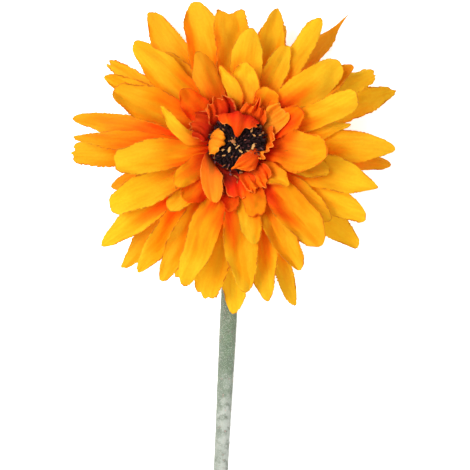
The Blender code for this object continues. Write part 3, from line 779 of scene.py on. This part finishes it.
def ramp(tree, share, stops):
    """A colour that runs through the (place, colour) stops."""
    node = add_node(tree, "ValToRGB", {"Fac": share})
    elements = node.color_ramp.elements
    while len(elements) < len(stops):
        elements.new(0.5)
    for element, (place, colour) in zip(elements, stops):
        element.position = place
        element.color = (*colour, 1.0)
    return node.outputs["Color"]


def relief(tree, height, strength, depth):
    inputs = {"Height": height, "Strength": strength, "Distance": depth}
    return add_node(tree, "Bump", inputs).outputs["Normal"]


def principled(tree, colour, roughness, more):
    """A surface's shader, with more inputs named as on its node."""
    inputs = {"Base Color": colour, "Roughness": roughness, **more}
    return add_node(tree, "BsdfPrincipled", inputs).outputs["BSDF"]


NOISE_SPAN = (0.3, 0.7)  # most of a noise's values lie between these

# Dye colours of the cloth, from the root outwards, and those of its dark and bright parts,
# which are partly print and partly painted shade and painted light
DARK_RED = (0.30, 0.010, 0.0020)
DEEP_RED = (0.80, 0.024, 0.0010)
RED_ORANGE = (0.95, 0.100, 0.0015)
RED_GOLD = (0.96, 0.160, 0.0017)
ORANGE = (0.98, 0.250, 0.0020)
GOLD = (0.90, 0.475, 0.0050)
YELLOW = (0.86, 0.600, 0.0200)
KHAKI_TONE_AND_PAINTED_SHADE = (0.78, 0.330, 0.0100)
PALE_TONE_AND_PAINTED_LIGHT = (0.98, 0.760, 0.0300)
# The tan and rust border colours are partly painted shade, a dark line standing in for the shade where
# petals overlap.
TAN_EDGE_AND_PAINTED_SHADE = (0.60, 0.200, 0.0100)
RUST_EDGE_AND_PAINTED_SHADE = (0.72, 0.120, 0.0060)
RAW_EDGE = (0.96, 0.420, 0.0700)

# Tints that the cloth's stains, streaks and weave lay over its dye
STAIN_TINT = (0.98, 0.86, 0.72)
STREAK_TINT = (0.98, 0.76, 0.52)
WEAVE_TINT = (0.92, 0.74, 0.55)
WEAVE_PITCH = 0.48  # in millimetres
STREAK_LENGTH = (1.0, 0.10, 1.0)  # the grain runs along Y, so streaks are ten times as long as wide
STRIPE_LENGTH = (1.0, 0.22, 1.0)

# A cloth's dye runs through stops of (share of the petal's length, colour), which a
# petal's tone shifts. Its shade is the colour that dark petals turn to, partly print and
# partly painted shade, its edge that of the cut borders, which for the spread and inner
# cloth is partly a painted shade line, and the last two are how strongly these show and
# how much light passes.
Cloth = namedtuple("Cloth", "stops tone_shift shade edge edge_share see_through")

SPREAD_CLOTH = Cloth(
    ((0.08, DEEP_RED), (0.20, RED_ORANGE), (0.36, ORANGE), (0.60, GOLD), (0.84, YELLOW)),
    0.15, KHAKI_TONE_AND_PAINTED_SHADE, TAN_EDGE_AND_PAINTED_SHADE, 0.8, 0.5,
)
INNER_CLOTH = Cloth(
    ((0.18, DEEP_RED), (0.40, RED_ORANGE), (0.66, ORANGE), (0.96, GOLD)),
    0.20, DEEP_RED, RUST_EDGE_AND_PAINTED_SHADE, 0.7, 0.5,
)
# The frill's dark red near its roots, and the dark red its dark petals turn to, are partly painted shade
# for the hollows round the centre.
FRILL_CLOTH = Cloth(
    ((0.26, DARK_RED), (0.50, DEEP_RED), (0.88, RED_ORANGE), (1.0, RED_GOLD)),
    0.20, DARK_RED, RAW_EDGE, 0.4, 0.3,
)


def cloth_dye_and_painted_shading(tree, cloth, share, tone, streaks, stripes):
    """The dye's colour, which changes along a petal and with the petal's tone. A dark tone
    turns it partly to painted shade and a bright tone partly to painted light.
    """
    soaked = scaled(tree, maths(tree, "SUBTRACT", streaks, 0.5), 0.18)
    striped = remap(tree, stripes, 0.32, 0.68, -0.24, 0.24)
    place = total(tree, share, soaked, striped, scaled(tree, tone, cloth.tone_shift))
    outer_half = remap(tree, share, 0.2, 0.6)
    # Painted shade and painted light: a dark tone turns the petal's outer half towards the cloth's shade
    # colour, a bright tone towards pale yellow; both are partly print as well.
    darker = scaled(tree, remap(tree, tone, 0.0, -1.0, 0.0, 0.75), outer_half)
    brighter = scaled(tree, remap(tree, tone, 0.0, 1.0, 0.0, 0.85), outer_half)
    colour = blend(tree, darker, ramp(tree, place, cloth.stops), cloth.shade)
    return blend(tree, brighter, colour, PALE_TONE_AND_PAINTED_LIGHT)


def weave_height(tree, cut):
    """The height of a plain weave's threads, from 0 to 1."""
    place = axes(tree, cut)
    frequency = 2 * math.pi / WEAVE_PITCH
    warp, weft = (maths(tree, "SINE", scaled(tree, place[axis], frequency)) for axis in "XY")
    return remap(tree, scaled(tree, warp, weft), -1.0, 1.0)


def cloth_shader(tree, cloth):
    """Printed, pressed cloth: its dye changes along each petal, in streaks and soft
    stripes, over a plain weave, and light shines through it. A petal's tone adds painted
    shade and painted light, and a darker line along the borders is partly painted shade."""
    cut, grain = mesh_vector(tree, "cut"), mesh_vector(tree, "grain")
    share, inset, tone = axes(tree, mesh_vector(tree, "dye"))
    streaks = noise(tree, stretched(tree, grain, STREAK_LENGTH), 1.1, 3.0)
    stripes = noise(tree, stretched(tree, grain, STRIPE_LENGTH), 0.17)
    stains = noise(tree, cut, 1.1)
    patches = noise(tree, cut, 0.30)
    weave = weave_height(tree, cut)

    patchy = remap(tree, patches, 0.42, 0.58, -0.05, 0.30)
    # The band along the cut border takes the cloth's edge colour, for the spread and inner cloth partly a
    # painted shade line.
    frayed = total(tree, inset, spread(tree, stains, -0.1, 0.1), patchy)
    colour = coated(
        tree, cloth_dye_and_painted_shading(tree, cloth, share, tone, streaks, stripes),
        (stains, 0.35, 0.65, 0.0, 0.4, STAIN_TINT, "MULTIPLY"),
        (streaks, 0.38, 0.62, 0.35, 0.0, STREAK_TINT, "MULTIPLY"),
        (frayed, 0.38, 0.08, 0.0, cloth.edge_share, cloth.edge),
        (weave, 0.0, 1.0, 0.0, 0.40, WEAVE_TINT, "MULTIPLY"),
    )

    heights = (scaled(tree, weave, 0.06), scaled(tree, streaks, 0.10), scaled(tree, stains, 0.05))
    normal = relief(tree, total(tree, *heights), 0.8, MM)
    dull = {"Normal": normal, "Specular IOR Level": 0.12}
    front = principled(tree, colour, spread(tree, stains, 0.66, 0.86), dull)
    through = add_node(tree, "BsdfTranslucent", {"Color": colour, "Normal": normal}).outputs["BSDF"]
    return add_node(tree, "MixShader", {0: cloth.see_through, 1: front, 2: through}).outputs[0]


# Colours of the centre, from its ground to its flakes, and where they lie on the scale
# of its florets' kinds
GROUND = (0.008, 0.0020, 0.0024)
MAROON = (0.030, 0.006, 0.006)
MAUVE = (0.12, 0.035, 0.040)
TAN = (0.36, 0.12, 0.030)
CREAM = (0.50, 0.26, 0.08)
CENTRE_COLOURS = ((0.0, GROUND), (0.2, MAROON), (0.42, MAUVE), (0.68, TAN), (0.95, CREAM))


def centre_shader(tree):
    """Dark flocking whose florets end in maroon, mauve, tan or cream."""
    share, kind, chance = axes(tree, mesh_vector(tree, "dye"))
    powder = noise(tree, mesh_vector(tree, "grain"), 5.0, 3.0)
    tip_colour = ramp(tree, total(tree, kind, spread(tree, powder, -0.1, 0.1)), CENTRE_COLOURS)
    tipped = total(tree, share, remap(tree, chance, 0.0, 1.0, -0.15, 0.15))
    colour = blend(tree, remap(tree, tipped, 0.35, 0.75), GROUND, tip_colour)
    normal = relief(tree, powder, 0.7, 0.15 * MM)
    dull = {"Normal": normal, "Specular IOR Level": 0.25}
    return principled(tree, colour, spread(tree, powder, 0.55, 0.85), dull)


# Colours of the cup's plastic
CUP_DARK = (0.045, 0.10, 0.022)
CUP_GREEN = (0.085, 0.16, 0.040)
CUP_RIB = (0.20, 0.26, 0.08)
CUP_SPECK = (0.03, 0.07, 0.02)


def cup_shader(tree):
    """Moulded green plastic, a little mottled, paler on the bracts' ribs."""
    grain = mesh_vector(tree, "grain")
    patches = noise(tree, grain, 0.35, 3.0)
    specks = noise(tree, grain, 3.5)
    rib = axes(tree, mesh_vector(tree, "dye"))["X"]
    colour = coated(
        tree, ramp(tree, patches, ((0.3, CUP_DARK), (0.7, CUP_GREEN))),
        (rib, 0.55, 1.0, 0.0, 0.5, CUP_RIB),
        (specks, 0.45, 0.7, 0.0, 0.35, CUP_SPECK),
    )
    normal = relief(tree, specks, 0.5, 0.12 * MM)
    return principled(tree, colour, spread(tree, patches, 0.42, 0.58), {"Normal": normal})


# Colours of the stem's powdery coat, and how far from the flower it turns pale
COAT_GREEN = (0.128, 0.182, 0.114)
COAT_DARK = (0.110, 0.132, 0.098)
COAT_PALE = (0.370, 0.395, 0.350)
COAT_DUST = (0.47, 0.50, 0.44)
COAT_PINK = (0.55, 0.33, 0.30)
PALE_FROM, PALE_TO = 82.0, 112.0  # in millimetres


def stem_shader(tree):
    """A powdery coat: grey-green near the flower, then pale grey, with darker blotches,
    painted shade along its left side, dusty specks and a few pinkish ones."""
    grain = mesh_vector(tree, "grain")
    from_head = axes(tree, mesh_vector(tree, "dye"))["X"]
    patches = noise(tree, grain, 0.16, 4.0, 0.65)
    blotches = noise(tree, grain, 0.45, 3.0, 0.6)
    specks = noise(tree, grain, 2.6, 3.0, 0.7)
    pink = noise(tree, grain, 0.9, 1.0)
    paler = total(tree, from_head, spread(tree, patches, -12.0, 12.0))
    # Painted shade: the coat is darker along the stem's left side, standing in for the side the light
    # reaches less.
    across = maths(tree, "SUBTRACT", axes(tree, grain)["X"], FLOWER_ORIGIN[0] / MM)
    painted_side_shade = total(tree, across, spread(tree, patches, -1.6, 1.6))
    colour = coated(
        tree, COAT_GREEN,
        (paler, PALE_FROM, PALE_TO, 0.0, 1.0, COAT_PALE),
        (blotches, 0.48, 0.66, 0.0, 0.75, COAT_DARK),
        (painted_side_shade, -1.8, 0.8, 0.5, 0.0, COAT_DARK),
        (specks, 0.52, 0.68, 0.0, 0.7, COAT_DUST),
        (pink, 0.70, 0.76, 0.0, 0.5, COAT_PINK),
    )
    normal = relief(tree, total(tree, specks, scaled(tree, blotches, 0.8)), 0.8, 0.2 * MM)
    powdery = {"Normal": normal, "Specular IOR Level": 0.15, "Sheen Weight": 0.2}
    return principled(tree, colour, spread(tree, specks, 0.82, 0.96), powdery)


STEEL = (0.50, 0.49, 0.47)
STEEL_STAIN = (0.36, 0.33, 0.30)
DRAWN = (9000.0, 250.0, 9000.0)  # lines to a metre across the wire and along it


def steel_shader(tree):
    """Drawn steel wire, with fine lines along it and faint stains."""
    place = add_node(tree, "TexCoord").outputs["Object"]
    lines = noise(tree, stretched(tree, place, DRAWN), 1.0, 3.0)
    stains = noise(tree, place, 700.0, 3.0)
    colour = ramp(tree, stains, ((0.35, STEEL), (0.7, STEEL_STAIN)))
    normal = relief(tree, lines, 0.3, 0.03 * MM)
    bare = {"Normal": normal, "Metallic": 1.0}
    return principled(tree, colour, spread(tree, lines, 0.25, 0.45), bare)


PAPER_DARK = (0.93, 0.93, 0.93)
PAPER_PALE = (0.96, 0.96, 0.96)


def paper_shader(tree):
    """Pale paper with a faint grain, which glows a little so that it stays white."""
    place = add_node(tree, "TexCoord").outputs["Object"]
    grain = noise(tree, place, 260.0, 3.0)
    colour = ramp(tree, grain, ((0.3, PAPER_DARK), (0.7, PAPER_PALE)))
    glow = {"Specular IOR Level": 0.2, "Emission Color": (1.0, 1.0, 1.0, 1.0), "Emission Strength": 0.6}
    return principled(tree, colour, spread(tree, grain, 0.82, 0.95), glow)


def add_piece(name, node, shells, slot, shade, *settings):
    """One piece of several shells, which rides on the body in place of a node. Its
    material is named like its slot."""
    points = np.concatenate([shell.points for shell in shells])
    faces, start = [], 0
    for shell in shells:
        faces += [[start + corner for corner in face] for face in shell.faces]
        start += len(shell.points)
    mesh = bpy.data.meshes.new(name)
    mesh.from_pydata(points.tolist(), [], faces)
    for key in ("cut", "grain", "dye"):
        values = np.concatenate([getattr(shell, key) for shell in shells])
        layer = mesh.attributes.new(key, "FLOAT_VECTOR", "POINT")
        layer.data.foreach_set("vector", np.ascontiguousarray(values, np.float32).ravel())
    mesh.shade_smooth()
    mesh.set_sharp_from_angle(angle=SHARP_ANGLE)
    mesh.materials.append(new_material(slot, shade, *settings))
    piece = add_object(name, mesh)
    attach(piece, BODY)
    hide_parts(node)


def build_layer(number, layer, cloth, make_grid):
    """One layer of cloth: its hub, its petals and the loose threads of their borders."""
    level = HUB_PITCH * number
    shells = [hub_shell(level)]
    for slot, petal in enumerate(layer.petals):
        draw = np.random.default_rng((number, slot))
        root_bearing = layer.first_root + 360 * slot / len(layer.petals)
        grid = make_grid(draw, level, layer, root_bearing, petal)
        shells.append(sheet_shell(grid, CLOTH, slot, petal.tone))
        shells += loose_threads(draw, grid, int(THREADS * petal.fray), slot, petal.tone)
    add_piece("cloth_" + layer.name, layer.name, shells, layer.slot, cloth_shader, cloth)


def build_cloth():
    """The spread layers and the ruffled one that stands round the centre."""
    *outer_layers, inner_layer = LAYERS
    for number, layer in enumerate(outer_layers):
        build_layer(number, layer, SPREAD_CLOTH, petal_grid)
    build_layer(len(outer_layers), inner_layer, INNER_CLOTH, petal_grid)
    build_layer(len(LAYERS), FRILL_LAYER, FRILL_CLOTH, frill_grid)


DISC_FOOT = HUB_PITCH * len(LAYERS) + HUB_THICKNESS / 2 + DISC_GAP  # height of the disc's underside

# Kinds of floret, as places in CENTRE_COLOURS, and the share of the florets of each kind
FLORET_KINDS = (0.05, 0.2, 0.42, 0.66, 0.9)
FLORET_SHARES = (0.60, 0.25, 0.08, 0.04, 0.03)


def dome_height(reach):
    """The height of the centre's dome at a reach from the axis."""
    return DISC_FOOT + DISC_SIDE + DISC_RISE * math.sqrt(max(0.0, 1 - (reach / DISC_RADIUS) ** 2))


def dome_shell():
    """The dome of the centre, with the socket for the stem's core."""
    profile = [
        (BORE_RADIUS, DISC_FOOT + DISC_SOCKET),
        (BORE_RADIUS, DISC_FOOT),
        (DISC_RADIUS - DISC_CHAMFER, DISC_FOOT),
    ]
    for turn in np.linspace(0, 0.98 * math.pi / 2, DOME_RINGS):
        profile.append((DISC_RADIUS * math.cos(turn), DISC_FOOT + DISC_SIDE + DISC_RISE * math.sin(turn)))
    return turned_shell(profile, DOME_SIDES, (0.0, 0.0, 0.5), looped=False)


def bent_bar(path, radii, sides, kind, chance, flatness=1.0):
    """A floret or flake of the centre, with its colour kind, thinner one way than the other."""
    points = bar_points(path, radii, sides)
    centre = np.repeat(path, sides, axis=0)
    points = centre + (points - centre) * (1, 1, flatness)
    share = np.repeat(np.linspace(0, 1, len(path)), sides)
    dye = np.stack((share, np.full_like(share, kind), np.full_like(share, chance)), axis=-1)
    return head_shell(points, bar_faces(len(path), sides), dye)


def floret_shell(draw, index):
    """One floret, which leans further out and is shorter the nearer it is to the rim."""
    out = math.sqrt((index + 0.5) / FLORETS)
    bearing = index * GOLDEN_ANGLE + draw.uniform(-9, 9)
    reach = DISC_RADIUS * out * 0.98
    foot = plan(bearing, reach, dome_height(reach) - FLORET_SINK)
    leaning = plan(bearing + draw.uniform(-40, 40), FLORET_LEAN * out, 1.0)
    heading = unit(leaning + draw.normal(0, 0.22, 3))
    length = draw.uniform(*FLORET_LENGTHS) * (1 - 0.35 * out)
    step = np.linspace(0, 1, len(FLORET_OUTLINE))[:, None]
    droop = plan(bearing + draw.uniform(-90, 90), 0.25 * length)
    path = foot + heading * length * step + droop * step ** 2
    kind = draw.choice(FLORET_KINDS, p=FLORET_SHARES)
    radii = np.array(FLORET_OUTLINE) * MM * draw.uniform(0.8, 1.25)
    return bent_bar(path, radii, 5, kind, draw.uniform(0, 1))


def flake_shell(draw, flake):
    """A curled pale flake that lies on the florets. Its place is found in a few rounds,
    since the pixel it is seen at depends on its height and that on its place."""
    height = dome_height(0.0) + FLAKE_FLOAT
    for _ in range(6):
        middle = under_pixel(flake.pixel, height)
        height = dome_height(math.hypot(middle[0], middle[1])) + FLAKE_FLOAT
    heading = math.radians(flake.heading)
    line = HEAD_TURN.T @ np.array(PICTURE_RIGHT * math.cos(heading) + PICTURE_UP * math.sin(heading))
    step = np.linspace(-1, 1, 8)[:, None]
    path = middle + line * (flake.length * MM / 2) * step
    path[:, 2:] += FLAKE_CURL * (draw.uniform(-1, 1) * step + draw.uniform(-1, 1) * step ** 2)
    radii = FLAKE_TRIM * flake.width * MM / 2 * np.sqrt(np.maximum(0.05, 1 - step[:, 0] ** 2))
    radii *= 1 + 0.45 * wobble(draw, step[:, 0], 2, 1.0, 0.5, 1.5)
    shell = bent_bar(path, radii, 10, flake.colour, 0.5, flatness=0.4)
    return shell._replace(dye=np.maximum(shell.dye, (1.0, 0.0, 0.0)))


def build_centre():
    """The dark centre: a dome packed with short florets, with pale flakes on it."""
    draw = np.random.default_rng(300)
    shells = [dome_shell()]
    shells += [floret_shell(draw, index) for index in range(FLORETS)]
    shells += [flake_shell(draw, flake) for flake in FLAKES]
    add_piece("centre_florets", "disc_florets", shells, "centre_flock", centre_shader)


def cup_shell():
    """The cup itself, with points close enough together along its profile to look round."""
    corners = np.array(CALYX_PROFILE) * MM
    profile = []
    for start, end in zip(corners, np.roll(corners, -1, axis=0)):
        steps = max(1, int(np.linalg.norm(end - start) / PROFILE_STEP))
        profile += [start + (end - start) * step / steps for step in range(steps)]
    return turned_shell(profile, CUP_SIDES, (0.0, 0.0, 0.0))


def bract_shell(row, index):
    """One pointed bract, hollow across, with a rib along its middle."""
    foot_half, line = BRACT_ROWS[row]
    draw = np.random.default_rng((400, row, index))
    rows, columns = BRACT_GRID
    share, column = np.meshgrid(np.linspace(0, 1, rows), np.linspace(-1, 1, columns), indexing="ij")
    stations = np.linspace(0, 1, len(line))
    bearing = 360 * (index + row / 2) / BRACTS + draw.uniform(-2.5, 2.5)
    reach, height = (np.interp(share, stations, values) for values in np.transpose(line) * MM)
    half = foot_half * MM * np.maximum(0.03, 1 - share ** 2.2) * draw.uniform(0.9, 1.08)
    form = BRACT_CURL * draw.uniform(-1, 1) * share ** 2 + BRACT_HOLLOW * column ** 2
    form -= BRACT_RIB * bell(column, 0.22) * (1 - share)
    sideways = plan(bearing + 90, 1.0) * (half * column)[..., None]
    middle = plan(bearing, reach, height + form) + sideways
    flat = plan(bearing, reach, height) + sideways
    shell = sheet_shell((middle, flat, share, half), BRACT_THICKNESS, index, 0.0)
    ribbed = np.tile(bell(column.ravel(), 0.3), 2)
    dye = np.stack((ribbed, shell.dye[:, 0], shell.dye[:, 2]), axis=-1)
    return shell._replace(grain=shell.cut, dye=dye)


def build_cup():
    """The green cup behind the bloom with its rows of bracts."""
    shells = [cup_shell()]
    for row in range(len(BRACT_ROWS)):
        shells += [bract_shell(row, index) for index in range(BRACTS)]
    add_piece("cup_and_bracts", "calyx", shells, "calyx_plastic", cup_shader)


def stem_line():
    """(path, radii) of the stem's centre line, from its cut end up to the cup."""
    bend_start = -NECK_STRAIGHT * math.sin(HEAD_TILT) - NECK_BEND_RADIUS * math.cos(HEAD_TILT)
    lying = np.linspace(-STEM_REACH, bend_start, LYING_STEPS)[:-1]
    thinner = (STEM_RADIUS_NECK - STEM_RADIUS_END) * smooth(TAPER_START, TAPER_END, -lying)
    radii = STEM_RADIUS_NECK - thinner
    path = [np.stack((np.zeros_like(lying), lying, radii), axis=-1)]
    turn = np.linspace(0, math.pi / 2 - HEAD_TILT, BEND_STEPS)
    path.append(np.stack((
        np.zeros_like(turn),
        bend_start + NECK_BEND_RADIUS * np.sin(turn),
        STEM_RADIUS_NECK + NECK_BEND_RADIUS * (1 - np.cos(turn)),
    ), axis=-1))
    neck = HUB_CENTRE - FLOWER_ORIGIN + HEAD_TURN @ np.array((0.0, 0.0, STEM_SEAT))
    bend_end = path[1][-1]
    path.append(bend_end + (neck - bend_end) * np.linspace(0, 1, NECK_STEPS)[1:, None])
    path = np.concatenate(path)
    thick = np.full(len(path) - len(radii), STEM_RADIUS_NECK)
    return path + FLOWER_ORIGIN, np.concatenate((radii, thick))


def build_stem():
    """The stem's powdery sleeve, with the hole for its core."""
    draw = np.random.default_rng(500)
    path, radii = stem_line()
    outside = bar_points(path, radii, STEM_SIDES)
    hole = bar_points(path, np.full(len(path), BORE_RADIUS), STEM_SIDES)
    hole = hole.reshape(len(path), STEM_SIDES, 3)[::-1].reshape(-1, 3)
    grit = np.repeat(path, STEM_SIDES, axis=0) - outside
    grit *= draw.normal(0, GRIT, len(grit))[:, None]
    outside += grit * (outside[:, 2:] > FLAT_FOOT)
    points = np.concatenate((outside, hole))
    walked = walk(path)
    from_head = (walked[-1] - walked) / MM
    dye = np.zeros((len(points), 3))
    dye[:, 0] = np.repeat(np.concatenate((from_head, from_head[::-1])), STEM_SIDES)
    faces = bar_faces(2 * len(path), STEM_SIDES, looped=True)
    add_piece("stem_coat", "stem_sleeve", [solid_shell(points, faces, dye)], "stem_flock", stem_shader)


def build_core():
    """The stem's steel core, from a little inside the cut end up to the dark centre."""
    path, _ = stem_line()
    start = path[0] + (0.0, CORE_RECESS, 0.0)
    end = in_model(np.array((0.0, 0.0, DISC_FOOT - DISC_GAP + DISC_SOCKET)))
    path = np.concatenate((start[None], path[path[:, 1] > start[1]], end[None]))
    points = bar_points(path, np.full(len(path), CORE_RADIUS), CORE_SIDES)
    shell = solid_shell(points, bar_faces(len(path), CORE_SIDES), np.zeros_like(points))
    add_piece("stem_core", "stem_wire", [shell], "wire_steel", steel_shader)


FLOOR_HALF = 4.0  # in metres

# Lamps: name, place from the flower, width and power, in metres and watts
LAMPS = (
    ("key", (-0.62, 0.12, 1.15), 0.7, 21.5),
    ("fill", (0.6, -0.7, 1.3), 1.2, 6.0),
)
SKY_STRENGTH = 0.58
SENSOR_WIDTH = 36  # in millimetres


def build_floor():
    """The pale surface that the flower lies on."""
    corners = [(x * FLOOR_HALF, y * FLOOR_HALF, 0) for x, y in ((-1, -1), (1, -1), (1, 1), (-1, 1))]
    mesh = bpy.data.meshes.new("floor")
    mesh.from_pydata(corners, [], [(0, 1, 2, 3)])
    mesh.materials.append(new_material("floor_paper", paper_shader))
    floor = add_object("floor", mesh)


def add_lamp(name, place, size, power):
    """A round lamp that faces the flower."""
    lamp = bpy.data.lights.new(name, "AREA")
    lamp.shape = "DISK"
    lamp.size = size
    lamp.energy = power
    light = add_object(name, lamp)
    light.location = Vector(HUB_CENTRE) + Vector(place)
    light.rotation_euler = (-Vector(place)).to_track_quat("-Z", "Y").to_euler()


def build_light():
    """Soft studio light, a little stronger from the picture's upper left."""
    for lamp in LAMPS:
        add_lamp(*lamp)
    world = bpy.data.worlds.new("studio")
    world.use_nodes = True
    sky = world.node_tree.nodes["Background"]
    sky.inputs["Color"].default_value = (1, 1, 1, 1)
    sky.inputs["Strength"].default_value = SKY_STRENGTH
    bpy.context.scene.world = world


def build_camera():
    """A camera that looks straight down, as in the photo."""
    seen_width = PHOTO_SIZE * PHOTO_PIXEL
    right_of_hub, below_hub = ((PHOTO_SIZE / 2 - pixel) * PHOTO_PIXEL for pixel in PHOTO_CENTRE)
    aim = Vector(HUB_CENTRE) + PICTURE_RIGHT * right_of_hub - PICTURE_UP * below_hub
    place = aim + Vector((0, 0, CAMERA_DISTANCE))
    camera = add_object("camera", bpy.data.cameras.new("camera"))
    camera.data.sensor_width = SENSOR_WIDTH
    camera.data.lens = SENSOR_WIDTH * CAMERA_DISTANCE / seen_width
    camera.matrix_world = Matrix((
        (PICTURE_RIGHT.x, PICTURE_UP.x, 0, place.x),
        (PICTURE_RIGHT.y, PICTURE_UP.y, 0, place.y),
        (0, 0, 1, place.z),
        (0, 0, 0, 1),
    ))
    bpy.context.scene.camera = camera


bpy.context.scene.view_settings.view_transform = "Standard"
build_cloth()
build_centre()
build_cup()
build_stem()
build_core()
build_floor()
build_light()
build_camera()
